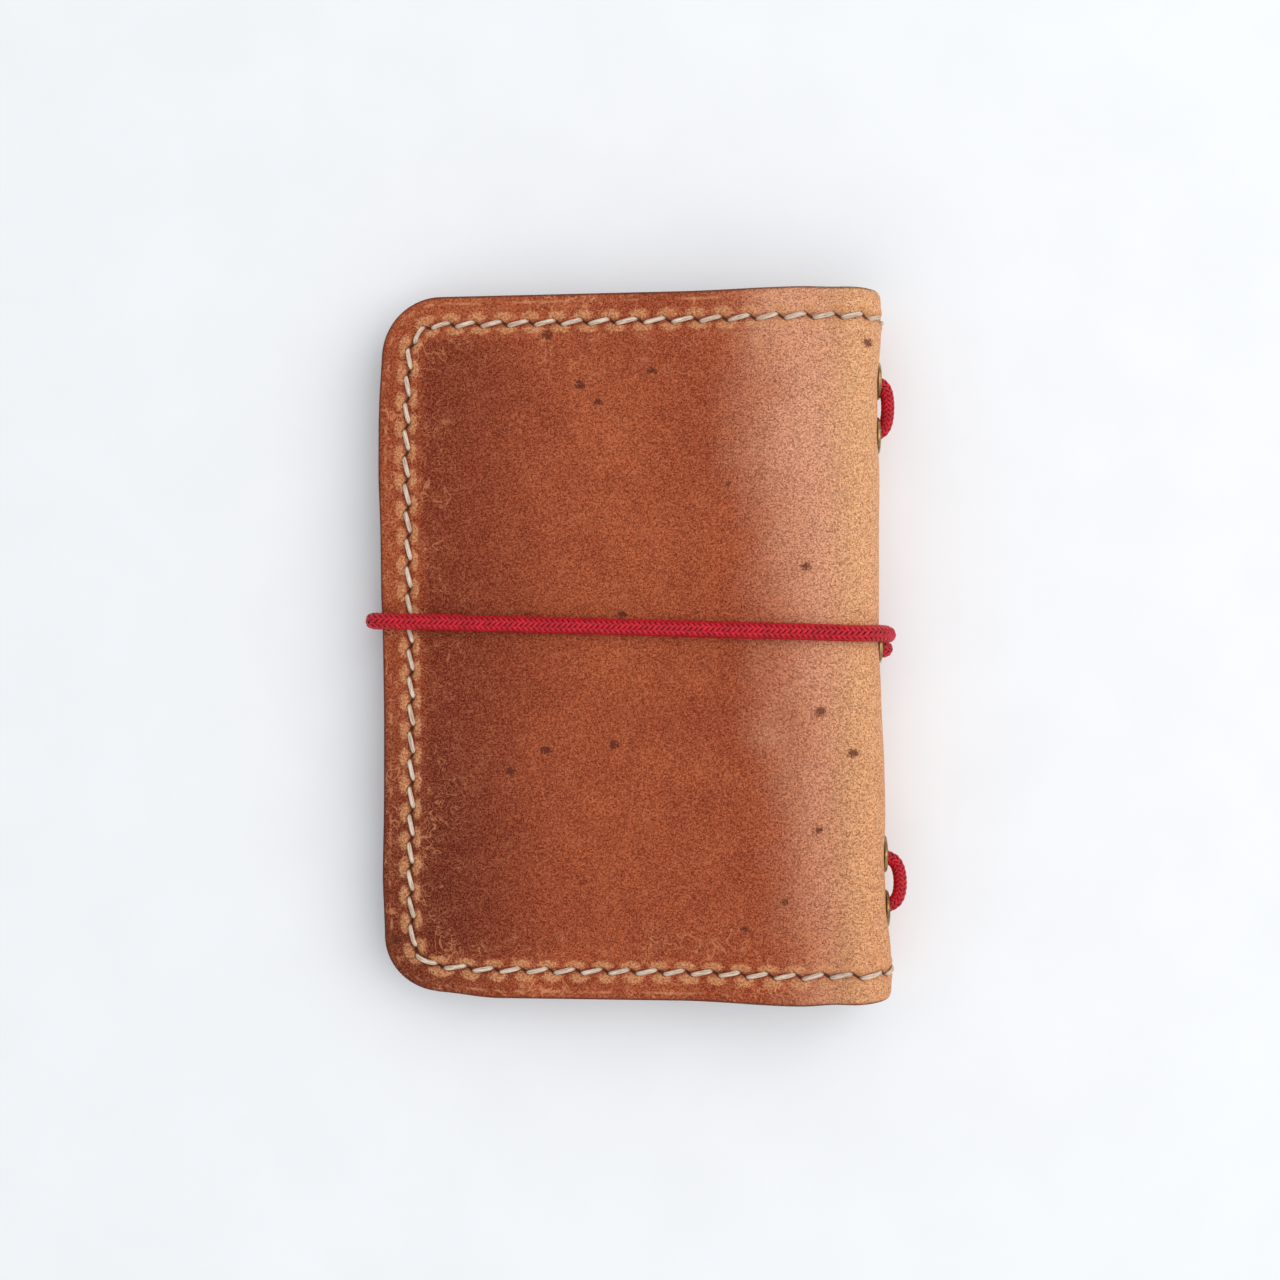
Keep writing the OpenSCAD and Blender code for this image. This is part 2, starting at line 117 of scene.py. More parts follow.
# The leather's own set: it spreads beside the fold, the fore edges and the spine bow, and it is
# drawn in at the eyelets and where the band crosses the edges. Pairs are (v, how far out) in mm.
FLARE = {1: 0.33 * MM, -1: 0.62 * MM}
FLARE_PEAK = 9 * MM
FLARE_REACH = 26 * MM
SPINE_BOW = [
    (-51.5, 1.6), (-45, 1.55), (-42, 1.35), (-38, 0.95), (-33, 0.75), (-24, 0.84), (-16, 0.68),
    (-10, 0.37), (-3, 0.2), (6, 0.06), (18, 0.13), (25, 0.25), (31, 0.06), (36, 0.06),
    (42, 0.38), (45, 0.55), (51.5, 0.55),
]
FORE_BOW = [
    (-51.5, 0.1), (-42, 0.14), (-34, 0.45), (-24, 0.2), (-10, 0.1), (0, 0.2), (6, 0.42),
    (18, 0.52), (25, 0.78), (34, 0.68), (38, 0.5), (43, 0.12), (51.5, 0),
]
CORNER_PULL = 0.85 * MM
CORNER_PULL_FROM = 17 * MM
CORNER_PULL_FADE = 10 * MM
EYELET_DIP = 0.2 * MM
EYELET_DIP_REACH = 3.2 * MM
EYELET_Y = (-38.9 * MM, -30.8 * MM, 0.0, 30.8 * MM, 38.9 * MM)
BAND_DENT = 0.35 * MM
BAND_DENT_REACH = 2.2 * MM
SPINE_FADE = 5 * MM
DOME = 0.35 * MM

# The closure band's strands, across the front and in the pressed channel under the back.
BAND_R = 1.15 * MM
BAND_FORE_V = 3.9 * MM
BAND_FRONT_V = 1.7 * MM
BAND_BACK_V = -0.5 * MM


def smooth(t):
    t = np.clip(t, 0, 1)
    return t * t * (3 - 2 * t)


def hump(x, width):
    return np.exp(-((x / width) ** 2))


def profile(u):
    """Point (x, z) of the outer surface and its direction, at each u."""
    x, z, turn = np.zeros_like(u), np.zeros_like(u), np.zeros_like(u)
    starts = [np.array([FORE_X, BACK_Z])] + BEND_AT
    begin = 0.0
    for face, width in enumerate(FACE_W):
        on = (u >= begin) if face else np.full(u.shape, True)
        along, angle = u - begin, face * TURN
        x[on] = starts[face][0] + along[on] * math.cos(angle)
        z[on] = starts[face][1] + along[on] * math.sin(angle)
        turn[on] = angle
        begin += width
    for k, centre in enumerate(BEND_U):
        on = np.abs(u - centre) < ROUND
        before = k * TURN
        part = (u[on] - centre + ROUND) / (2 * ROUND) * TURN
        ahead, inward = ROUND_R * np.sin(part) - ROUND, ROUND_R * (1 - np.cos(part))
        x[on] = BEND_AT[k][0] + ahead * math.cos(before) - inward * math.sin(before)
        z[on] = BEND_AT[k][1] + ahead * math.sin(before) + inward * math.cos(before)
        turn[on] = before + part
    return x, z, turn


def spine_weight(u):
    """1 on the spine, fading to 0 a few millimetres into each cover."""
    after_start = smooth((u - BEND_U[0] + SPINE_FADE) / SPINE_FADE)
    return after_start * smooth((BEND_U[3] + SPINE_FADE - u) / SPINE_FADE)


def bow(table, v):
    """A smooth curve through a few set distances along v."""
    known = np.array(table) * MM
    fine = np.linspace(-HALF_H, HALF_H, 207)
    sampled = np.interp(fine, known[:, 0], known[:, 1])
    kernel = np.hanning(13)
    padded = np.pad(sampled, 6, mode="edge")
    return np.interp(v, fine, np.convolve(padded, kernel / kernel.sum(), mode="valid"))


def set_of_leather(u, v):
    """How far the outer surface stands out from the plain profile, and the shifts of u and v."""
    near_fold = np.maximum(0, np.maximum(BEND_U[0] - u, u - BEND_U[3]))
    from_fore = np.minimum(u, WRAP_W - u)
    flare = smooth(near_fold / FLARE_PEAK)
    flare = flare * smooth((FLARE_REACH - near_fold) / (FLARE_REACH - FLARE_PEAK))
    flare = flare * np.where(v > 0, FLARE[1], -FLARE[-1]) * (np.abs(v) / HALF_H) ** 4
    pull = CORNER_PULL * smooth((CORNER_PULL_FROM - from_fore) / CORNER_PULL_FADE)
    pull = pull * (np.abs(v) / HALF_H) ** 6
    shift_v = flare + np.where(v < 0, pull, 0)
    out = spine_weight(u) * bow(SPINE_BOW, v)
    for y in EYELET_Y:
        out = out - spine_weight(u) * EYELET_DIP * hump(v - y, EYELET_DIP_REACH)
    fold_edge = hump(u - BEND_U[3], 3 * MM) + hump(u - WRAP_W, 1.6 * MM)
    out = out - BAND_DENT * fold_edge * hump(v - band_v(u), BAND_DENT_REACH)
    front_part = np.clip((u - BEND_U[3]) / FRONT_W, 0, 1)
    across = np.clip(1 - (v / HALF_H) ** 2, 0, 1)
    out = out + DOME * np.sin(math.pi * front_part) * across
    back_part = np.clip((BEND_U[0] - u) / BACK_W, 0, 1)
    shift_u = bow(FORE_BOW, v) * (front_part**2 - back_part**2)
    return out, shift_u, shift_v


def seat(y):
    """How far the spine's leather has carried an eyelet outwards."""
    out, _, _ = set_of_leather(np.array([SPINE_MID_U]), np.array([y]))
    return float(out[0]) + EYELET_DIP


def band_v(u):
    """v of the front strand of the closure band."""
    part = np.clip((u - BEND_U[3]) / FRONT_W, 0, 1)
    return BAND_FRONT_V + (BAND_FORE_V - BAND_FRONT_V) * part


def place(u, v, w):
    """Points of the wrap in the row frame."""
    u, v, w = (np.asarray(a, float) for a in np.broadcast_arrays(u, v, w))
    out, shift_u, shift_v = set_of_leather(u, v)
    x, z, turn = profile(u + shift_u)
    depth = w - out
    x = x - depth * np.sin(turn)
    z = z + depth * np.cos(turn)
    return np.stack([x, v + shift_v, z], -1)


# ---- the loop of the edge and of the stitch line ----

RING_DEPTH = CORNER_R
SIDE_STEPS = {"u": 346, "v": 214}
CORNER_STEPS = 18


def edge_columns():
    """Columns round the unrolled sheet: point on the outline, inward direction, and arc length of
    the stitch line there."""
    r, half = CORNER_R, HALF_H
    corners = [(WRAP_W - r, half - r), (r, half - r), (r, -half + r), (WRAP_W - r, -half + r)]
    points, inward, run, at = [], [], [], 0.0
    quarter = (r - STITCH_INSET) * math.pi / 2
    for side, corner in enumerate(corners):
        angle = side * math.pi / 2
        out = np.array([math.cos(angle), math.sin(angle)])
        a, b = np.array(corners[side - 1]), np.array(corner)
        steps = SIDE_STEPS["v" if side % 2 == 0 else "u"]
        length = float(np.linalg.norm(b - a))
        for i in range(steps + 1):
            points.append(a + (b - a) * i / steps + out * r)
            inward.append(-out)
            run.append(at + length * i / steps)
        at += length
        for i in range(1, CORNER_STEPS):
            angle_here = angle + math.pi / 2 * i / CORNER_STEPS
            out_here = np.array([math.cos(angle_here), math.sin(angle_here)])
            points.append(b + out_here * r)
            inward.append(-out_here)
            run.append(at + quarter * i / CORNER_STEPS)
        at += quarter
    return np.array(points), np.array(inward), np.array(run), at


EDGE_P, EDGE_IN, EDGE_RUN, LOOP_LENGTH = edge_columns()
STITCHES = round(LOOP_LENGTH / STITCH_PITCH)
PITCH = LOOP_LENGTH / STITCHES
# The awl's slits slant the other way to the stitches: inset gained for each length along.
SLIT_SLOPE = STITCH_LEAN / (STITCH_GAP * PITCH)

# How far the hand stitching has wandered along its line: (arc length, shift) in millimetres.
STITCH_WANDER = [
    (0, 2.4), (20, 2.75), (65, 3.2), (85, 3.0), (95, 2.1), (115, 1.85), (150, 2.35),
    (230, 2.0), (330, 2.0), (400, 1.3), (466, 1.1), (LOOP_LENGTH / MM, 2.4),
]
WANDER_AT, WANDER_BY = np.array(STITCH_WANDER).T * MM


def sewn(run):
    """Where a stitch that an even pitch would put at this arc length lies."""
    run = np.mod(run, LOOP_LENGTH)
    return run + np.interp(run, WANDER_AT, WANDER_BY)


def evened(run):
    """The inverse of sewn: the even arc length of a place on the stitch line."""
    start = WANDER_BY[0]
    run = np.mod(run - start, LOOP_LENGTH) + start
    return np.interp(run, WANDER_AT + WANDER_BY, WANDER_AT)


def on_loop(run, inset):
    """(u, v) at an arc length of the stitch line and an inset from the edge."""
    run = np.mod(run, LOOP_LENGTH)
    known = np.append(EDGE_RUN, LOOP_LENGTH)
    p = np.vstack([EDGE_P, EDGE_P[:1]])
    n = np.vstack([EDGE_IN, EDGE_IN[:1]])
    pu, pv = np.interp(run, known, p[:, 0]), np.interp(run, known, p[:, 1])
    nu, nv = np.interp(run, known, n[:, 0]), np.interp(run, known, n[:, 1])
    return pu + inset * nu, pv + inset * nv


def stitch_relief(run, inset):
    """How far inwards the hide is pressed near the stitch line: negative is raised."""
    phase = np.mod(evened(run) / PITCH, 1)
    along = np.where(phase < 0.5, phase, phase - 1) * PITCH
    x = inset - STITCH_INSET
    off_slit = (x - SLIT_SLOPE * along) / math.hypot(1, SLIT_SLOPE)
    slit = 0.42 * MM * hump(off_slit, 0.25 * MM) * hump(along, 0.6 * MM)
    line = 0.12 * MM * hump(x, 0.55 * MM)
    outer_lip = hump(along + 0.2 * MM, 1.05 * MM) * hump(x + 1.1 * MM, 0.55 * MM)
    inner_lip = hump(along - 0.35 * MM, 1.1 * MM) * hump(x - 0.95 * MM, 0.5 * MM)
    return slit + line - 0.24 * MM * (outer_lip + inner_lip)


def channel_relief(u, v):
    """The pressed channel under the back cover that the band's back strand lies in."""
    part = np.clip(u / BACK_W, 0, 1)
    middle = BAND_FORE_V + (BAND_BACK_V - BAND_FORE_V) * part
    deep = 2 * BAND_R - BACK_Z + 0.06 * MM
    reach = smooth((BEND_U[0] + 2.6 * MM - u) / (1.6 * MM))
    return deep * reach * smooth((BAND_R + 1 * MM - np.abs(v - middle)) / (0.9 * MM))


# ---- mesh helpers ----


def bare_mesh(name, points, faces):
    mesh = bpy.data.meshes.new(name)
    mesh.from_pydata([tuple(p) for p in points], [], [list(map(int, f)) for f in faces])
    return mesh


def new_mesh(name, points, faces, material, smooth_shaded=True):
    mesh = bare_mesh(name, points, faces)
    mesh.materials.append(material)
    mesh.polygons.foreach_set("use_smooth", [smooth_shaded] * len(mesh.polygons))
    mesh.validate()
    mesh.update()
    piece = bpy.data.objects.new(name, mesh)
    bpy.context.scene.collection.objects.link(piece)
    return piece


def set_attribute(piece, name, values, kind="FLOAT"):
    attribute = piece.data.attributes.new(name, kind, "POINT")
    key = "value" if kind == "FLOAT" else "vector"
    attribute.data.foreach_set(key, np.asarray(values, np.float32).ravel())


def mesh_normals(points, faces):
    """Smooth normals of a whole surface, before it is cut into pieces."""
    mesh = bare_mesh("normals", points, faces)
    mesh.update()
    normals = np.zeros(len(mesh.vertices) * 3, np.float32)
    mesh.vertices.foreach_get("normal", normals)
    bpy.data.meshes.remove(mesh)
    return normals.reshape(-1, 3)


# A cut across the wrap in the middle of each spine strip; each piece holds one bend line.
CUT_U = [(BEND_U[i] + BEND_U[i + 1]) / 2 for i in range(3)]
PARTS = ("back", "spine_low", "spine_high", "front")


def part_of(u):
    return np.searchsorted(CUT_U, u)


def blend_part(piece, part):
    """Bakes the piece's placement into its mesh; the reach of the rounding round its own bend line
    is worked out but not used.
    """
    reach = np.array([BEND_U[part] - ROUND, BEND_U[part] + ROUND])
    x, z, _ = profile(reach)
    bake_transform(piece)


def cut_and_blend(name, points, faces, u, material, replaced, attributes):
    """Cuts a surface of the wrap into its four parts, keeps its normals, and bakes each part's
    placement.
    """
    normals = mesh_normals(points, faces)
    face_u = np.array([np.mean(u[f]) for f in faces])
    for part, part_name in enumerate(PARTS):
        mine = [f for f, k in zip(faces, part_of(face_u), strict=True) if k == part]
        used = np.unique(np.concatenate([np.asarray(f) for f in mine]))
        index = np.full(len(points), -1)
        index[used] = np.arange(len(used))
        piece = new_mesh(f"{name}_{part_name}", points[used], [index[f] for f in mine], material)
        for key, values in attributes.items():
            kind = "FLOAT" if values.ndim == 1 else "FLOAT_VECTOR"
            set_attribute(piece, key, values[used], kind)
        piece.data.normals_split_custom_set_from_vertices(normals[used].tolist())
        blend_part(piece, part)
        for node in replaced[part]:
            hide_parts(node)


# ---- sheets of the wrap ----


def ringed_sheet(section):
    """Mesh of a closed sheet of the unrolled wrap. section is [(inset, depth)] from the outer
    face's inner edge, over the rim, to the inner face's. Returns u, v, w, run, inset, faces."""
    columns = len(EDGE_P)
    nx, ny = SIDE_STEPS["u"], SIDE_STEPS["v"]
    u, v, w, run, inset = [], [], [], [], []

    def add(a, b, c, d, e):
        u.append(a), v.append(b), w.append(c), run.append(d), inset.append(e)
        return len(u) - 1

    rows = []
    for depth_in, depth in section:
        if depth_in < RING_DEPTH:
            row = []
            for p, n, s in zip(EDGE_P, EDGE_IN, EDGE_RUN, strict=True):
                row.append(add(p[0] + depth_in * n[0], p[1] + depth_in * n[1], depth, s, depth_in))
            rows.append(row)
            continue
        row, last = [], None
        for c in range(columns):
            p = EDGE_P[c] + RING_DEPTH * EDGE_IN[c]
            if last is None or np.linalg.norm(p - last[1]) > 1e-7:
                last = (add(p[0], p[1], depth, EDGE_RUN[c], RING_DEPTH), p)
            row.append(last[0])
        rows.append(row)
    # The first and last columns of an inner row meet at one corner.
    for row in (rows[0], rows[-1]):
        tail = row[-1]
        row[:] = [row[0] if k == tail else k for k in row]
    faces = []
    for low, high in zip(rows, rows[1:], strict=False):
        for c in range(columns):
            d = (c + 1) % columns
            ring = [low[c], low[d], high[d], high[c]]
            face = [k for i, k in enumerate(ring) if k != ring[i - 1]]
            if len(face) > 2:
                faces.append(face)
    for row, outward in ((rows[0], True), (rows[-1], False)):
        depth = section[0][1] if outward else section[-1][1]
        fine = {}
        for k in row:
            i = round((u[k] - CORNER_R) / (WRAP_W - 2 * CORNER_R) * nx)
            j = round((v[k] + HALF_H - CORNER_R) / (2 * HALF_H - 2 * CORNER_R) * ny)
            fine[i, j] = k
        for i in range(0, nx + 1, 2):
            for j in range(0, ny + 1, 2):
                if (i, j) not in fine:
                    a = CORNER_R + (WRAP_W - 2 * CORNER_R) * i / nx
                    b = -HALF_H + CORNER_R + (2 * HALF_H - 2 * CORNER_R) * j / ny
                    gap = min(a, WRAP_W - a, HALF_H - abs(b))
                    fine[i, j] = add(a, b, depth, 0.0, gap)
        around = [(0, 0), (1, 0), (2, 0), (2, 1), (2, 2), (1, 2), (0, 2), (0, 1)]
        for i in range(0, nx, 2):
            for j in range(0, ny, 2):
                cell = [fine[i + a, j + b] for a, b in around if (i + a, j + b) in fine]
                faces.append(cell[::-1] if outward else cell)
    arrays = [np.array(a, float) for a in (u, v, w, run, inset)]
    return (*arrays, faces)


def wave_of(run):
    """The stitch pitch as a wave, which has no seam where the loop closes."""
    turn = 2 * math.pi * evened(run) / PITCH
    return np.stack([np.cos(turn), np.sin(turn), np.zeros_like(turn)], -1)


def sheet_attributes(u, v, run, inset):
    from_fold = np.maximum(0, np.maximum(BEND_U[0] - u, u - BEND_U[3]))
    flat = np.stack([u, v, np.zeros_like(u)], -1)
    return {
        "wave": wave_of(run), "inset": inset / MM, "from_fold": from_fold / MM, "flat": flat / MM,
    }


OUTER_SECTION = [
    (8.7, 0), (7.4, 0), (6.5, 0), (6, 0), (5.65, 0), (5.35, 0), (5.05, 0), (4.8, 0), (4.55, 0),
    (4.3, 0), (4.05, 0), (3.8, 0), (3.55, 0), (3.25, 0), (2.95, 0), (2.6, 0), (2.1, 0), (1.5, 0.02),
    (1, 0.07), (0.6, 0.17), (0.3, 0.34), (0.1, 0.58), (0, 0.85), (0.02, 1.15), (0.1, 1.38),
    (0.3, 1.54), (0.7, 1.6), (3, 1.6), (8.7, 1.6),
]
LINING_SECTION = [
    (8.7, 1.6), (2, 1.6), (0.5, 1.62), (0.2, 1.7), (0.08, 1.85), (0.05, 2), (0.1, 2.2),
    (0.25, 2.34), (0.5, 2.39), (1.2, 2.4), (2.2, 2.4), (3, 2.4), (3.5, 2.4), (3.9, 2.4), (4.3, 2.4),
    (4.7, 2.4), (5.1, 2.4), (5.8, 2.4), (7, 2.4), (8.7, 2.4),
]


HIDE_NODES = (
    ["back_cover_leather"], ["spine_leather_back"], ["spine_leather_middle"],
    ["spine_leather_front", "front_cover_leather"],
)
LINING_NODES = (
    ["back_lining"], ["spine_lining_back"], ["spine_lining_middle"],
    ["spine_lining_front", "front_lining"],
)
LEAST_HIDE = 0.3 * MM
LINING_RELIEF = 0.6


def pressed_hide(u, v, w, run, inset):
    """Depth of the hide, pressed along its stitch line and in the band's channel."""
    outer = w < HIDE_T / 2
    w = w + np.where(outer & (inset < RING_DEPTH), stitch_relief(run, inset), 0)
    return np.where(outer, np.minimum(w + channel_relief(u, v), HIDE_T - LEAST_HIDE), w)


def pressed_lining(u, v, w, run, inset):
    """Depth of the lining, pressed less deeply along its own stitch line."""
    inner = (w > (HIDE_T + LINED_T) / 2) & (inset < RING_DEPTH)
    return w - np.where(inner, LINING_RELIEF * stitch_relief(-run, inset), 0)


def wrap_sheet(name, section, pressed, nodes, material):
    u, v, w, run, inset, faces = ringed_sheet([(a * MM, b * MM) for a, b in section])
    points = place(u, v, pressed(u, v, w, run, inset))
    attributes = sheet_attributes(u, v, run, inset)
    cut_and_blend(name, points, faces, u, material, nodes, attributes)


# ---- card pockets ----

NOTCH_R = 9 * MM
POCKET_COLUMNS = 90


def pocket_rows():
    """v of each row of a pocket, closer together round the corners."""
    bend = [HALF_H - CORNER_R * (1 - math.sin(a)) for a in np.linspace(0, math.pi / 2, 16)]
    middle = np.linspace(-HALF_H + CORNER_R, HALF_H - CORNER_R, 130)[1:-1]
    top = np.array(bend)
    return np.concatenate([-top[::-1], middle, top])


def pocket(name, reach, top, bottom, is_front, material, node):
    """A flat layer on a cover: round corners at the fore edge, a thumb notch in its open edge."""
    v = pocket_rows()
    over = np.clip(np.abs(v) - (HALF_H - CORNER_R), 0, CORNER_R)
    inner_edge = CORNER_R - np.sqrt(CORNER_R**2 - over**2)
    centre = reach + NOTCH_R * 0.35
    inside = np.clip(NOTCH_R**2 - v**2, 0, None)
    open_edge = np.minimum(reach, np.where(inside > 0, centre - np.sqrt(inside), reach))
    part = np.linspace(0, 1, POCKET_COLUMNS)
    edge = 0.35 * MM
    reach_u = inner_edge[:, None] + (open_edge - inner_edge)[:, None] * part[None, :]
    rows_v = np.repeat(v[:, None], POCKET_COLUMNS, 1)
    border = np.minimum(reach_u - inner_edge[:, None], open_edge[:, None] - reach_u)
    border = np.minimum(border, HALF_H - np.abs(rows_v))
    soften = edge * (1 - smooth(border / (0.9 * MM))) * 0.8
    u_cover = WRAP_W - reach_u if is_front else reach_u
    inset = np.minimum(reach_u - inner_edge[:, None], HALF_H - np.abs(rows_v))
    upper = place(u_cover, rows_v, top - soften)
    lower = place(u_cover, rows_v, np.full_like(rows_v, bottom))
    count = rows_v.size
    index = np.arange(count).reshape(rows_v.shape)
    faces = []
    for i in range(index.shape[0] - 1):
        for j in range(index.shape[1] - 1):
            cell = [index[i, j], index[i, j + 1], index[i + 1, j + 1], index[i + 1, j]]
            faces.append(cell)
            faces.append([k + count for k in cell[::-1]])
    rim = list(index[0, :]) + list(index[1:, -1]) + list(index[-1, -2::-1]) + list(index[-2:0:-1, 0])
    for a, b in zip(rim, rim[1:] + rim[:1], strict=True):
        faces.append([b, a, a + count, b + count])
    if is_front:
        faces = [f[::-1] for f in faces]
    points = np.concatenate([upper.reshape(-1, 3), lower.reshape(-1, 3)])
    piece = new_mesh(name, points, faces, material)
    flat = np.stack([reach_u.ravel(), rows_v.ravel(), np.zeros(count)], -1)
    set_attribute(piece, "flat", np.concatenate([flat, flat]) / MM, "FLOAT_VECTOR")
    open_gap = (open_edge[:, None] - reach_u).ravel() / MM
    set_attribute(piece, "open_gap", np.concatenate([open_gap, open_gap]))
    set_attribute(piece, "inset", np.tile(inset.ravel() / MM, 2))
    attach(piece, "front_cover" if is_front else "back_cover")
    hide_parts(node)


# ---- stitching ----

THREAD_RINGS = 15
THREAD_SIDES = 12


def stack_depth(u):
    """Depth of the inner surface that the thread lies on."""
    depth = np.full(u.shape, LINED_T)
    for reach, deep in ((POCKET_REACH, POCKET_T), (SLOT_REACH, SLOT_T)):
        depth = np.where(u < reach, deep, depth)
    return np.where(u > WRAP_W - POCKET_REACH, POCKET_T, depth)


def stitch_centres(i, outer):
    """Centre line of one stitch: up out of its hole, across, and down into the next."""
    t = np.linspace(0, 1, THREAD_RINGS)
    lean = STITCH_LEAN * (1 - 2 * t) * (1 if outer else -1)
    gap = STITCH_GAP * 0.8
    u, v = on_loop(sewn((i + gap + (1 - 2 * gap) * t) * PITCH), STITCH_INSET + lean)
    dive = np.abs(2 * t - 1) ** 5
    lift = THREAD_R * 0.6 - dive * 0.55 * MM
    level = stack_depth(u)
    depth = -lift if outer else level + lift
    return place(u, v, depth), u


def unit(vectors):
    return vectors / np.linalg.norm(vectors, axis=1)[:, None]


def swept(centres, side, up, across, out):
    """Rings of points round a centre line, at distances across and out along side and up."""
    return centres[:, None] + side[:, None] * across[:, :, None] + up[:, None] * out[:, :, None]


def thread_tube(centres, up_hint):
    """Rings of a softly twisted thread round a centre line."""
    tangent = unit(np.gradient(centres, axis=0))
    side = unit(np.cross(tangent, up_hint))
    up = np.cross(side, tangent)
    angle = np.arange(THREAD_SIDES) / THREAD_SIDES * 2 * math.pi
    ply = np.linspace(0, 1, len(centres))[:, None] * 0.5 * math.pi
    radius = THREAD_R * (1 + 0.08 * np.cos(3 * angle[None, :] + ply))
    ends = 1 - 0.4 * np.abs(np.linspace(-1, 1, len(centres)))[:, None] ** 4
    flat, wide = 0.75 * radius * ends, 1.08 * radius * ends
    return swept(centres, side, up, wide * np.cos(angle), flat * np.sin(angle))


def fibre_coordinates(number):
    """Across, across and along one stitch, which the thread's long fibres follow."""
    angle = np.arange(THREAD_SIDES) / THREAD_SIDES * 2 * math.pi
    t = np.arange(THREAD_RINGS) / (THREAD_RINGS - 1)
    grid = np.zeros((THREAD_RINGS, THREAD_SIDES, 3))
    grid[:, :, 0] = np.cos(angle)[None, :]
    grid[:, :, 1] = np.sin(angle)[None, :] + 7.3 * number
    grid[:, :, 2] = t[:, None]
    return grid.reshape(-1, 3)


def tube_faces(rings, sides, offset):
    faces = []
    for i in range(rings - 1):
        for k in range(sides):
            m = (k + 1) % sides
            a, b = offset + i * sides, offset + (i + 1) * sides
            faces.append([a + k, b + k, b + m, a + m])
    faces.append([offset + k for k in range(sides)])
    faces.append([offset + (rings - 1) * sides + k for k in reversed(range(sides))])
    return faces


STITCH_NODES = {
    "back": ["back_stitching"],
    "spine_low": ["spine_stitching_back"],
    "spine_high": ["spine_stitching_middle"],
    "front": ["spine_stitching_front", "front_stitching"],
}


def stitching(material):
    for part, part_name in enumerate(PARTS):
        points, faces, fibre = [], [], []
        for outer in (True, False):
            for i in range(STITCHES):
                centres, u = stitch_centres(i, outer)
                if part_of(np.array([u.mean()]))[0] != part:
                    continue
                _, _, turn = profile(np.array([u.mean()]))
                up = np.array([math.sin(turn[0]), 0, -math.cos(turn[0])])
                tube = thread_tube(centres, up if outer else -up)
                faces += tube_faces(THREAD_RINGS, THREAD_SIDES, sum(len(p) for p in points))
                points.append(tube.reshape(-1, 3))
                fibre.append(fibre_coordinates(i + outer * STITCHES))
        piece = new_mesh(f"stitching_{part_name}", np.concatenate(points), faces, material)
        set_attribute(piece, "fibre", np.concatenate(fibre), "FLOAT_VECTOR")
        blend_part(piece, part)
        for node in STITCH_NODES[part_name]:
            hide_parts(node)


# ---- braided elastic ----

BRAID_STRANDS = 8
STRAND_SIDES = 6
STEPS_PER_TURN = 32
# Shares of the cord's radius.
STRAND_AT = 0.8
STRAND_LIFT = 0.1
STRAND_WIDE = 0.28
STRAND_THICK = 0.19
CORE_R = 0.72


def spline(points, step):
    """A smooth curve through chosen points, in even steps."""
    p = np.array(points, float)
    ends = np.vstack([2 * p[0] - p[1], p, 2 * p[-1] - p[-2]])
    curve = []
    for i in range(1, len(p)):
        a, b, c, d = ends[i - 1], ends[i], ends[i + 1], ends[i + 2]
        for t in np.linspace(0, 1, 24, endpoint=False):
            curve.append(0.5 * (2 * b + (c - a) * t + (2 * a - 5 * b + 4 * c - d) * t * t
                                + (3 * b - a - 3 * c + d) * t**3))
    curve = np.array(curve + [p[-1]])
    run = np.concatenate([[0], np.cumsum(np.linalg.norm(np.diff(curve[:, :3], axis=0), axis=1))])
    at = np.linspace(0, run[-1], max(4, round(run[-1] / step)))
    return np.stack([np.interp(at, run, curve[:, k]) for k in range(curve.shape[1])], -1), at


def carried_frames(centres):
    """Two directions across a curve, carried along it without twisting."""
    tangent = unit(np.gradient(centres, axis=0))
    side = np.zeros_like(centres)
    first = np.cross(tangent[0], [0.3, 1, 0.2])
    side[0] = first / np.linalg.norm(first)
    for i in range(1, len(centres)):
        s = side[i - 1] - np.dot(side[i - 1], tangent[i]) * tangent[i]
        side[i] = s / np.linalg.norm(s)
    return side, np.cross(tangent, side)


def braided_cord(name, route, lay, material, stretches=((0, None),)):
    """Eight strands each way round a core, each over two and under two. route is
    [(x, y, z, radius)], lay is the length of one turn of a strand, and stretches are the
    parts of the route that this piece shows, in steps of lay / STEPS_PER_TURN."""
    curve, at = spline(route, lay / STEPS_PER_TURN)
    centres, radius = curve[:, :3], curve[:, 3:]
    side, up = carried_frames(centres)
    turns = at / lay
    points, faces, across_strand = [], [], []
    ring = -np.arange(STRAND_SIDES) / STRAND_SIDES * 2 * math.pi

    def add(tube, across_ring):
        for first, last in stretches:
            shown = tube[first:last]
            faces.extend(tube_faces(len(shown), STRAND_SIDES, sum(len(p) for p in points)))
            points.append(shown.reshape(-1, 3))
            across_strand.append(np.tile(across_ring, len(shown)))

    for direction in (1, -1):
        for k in range(BRAID_STRANDS):
            angle = 2 * math.pi * (k / BRAID_STRANDS + direction * turns)
            float_over_two = math.pi * k + direction * BRAID_STRANDS * math.pi * turns
            lift = STRAND_LIFT * direction * np.cos(float_over_two - math.pi / 4)
            out = np.cos(angle)[:, None] * side + np.sin(angle)[:, None] * up
            middle = centres + out * (radius * (STRAND_AT + lift[:, None]))
            across = unit(np.cross(out, unit(np.gradient(middle, axis=0))))
            wide, thick = STRAND_WIDE * radius, STRAND_THICK * radius
            add(swept(middle, across, out, wide * np.cos(ring), thick * np.sin(ring)), np.cos(ring))
    core = CORE_R * radius
    add(swept(centres, side, up, core * np.cos(ring), core * np.sin(ring)), np.zeros(STRAND_SIDES))
    piece = new_mesh(name, np.concatenate(points), faces, material)
    set_attribute(piece, "across", np.concatenate(across_strand))
    return piece


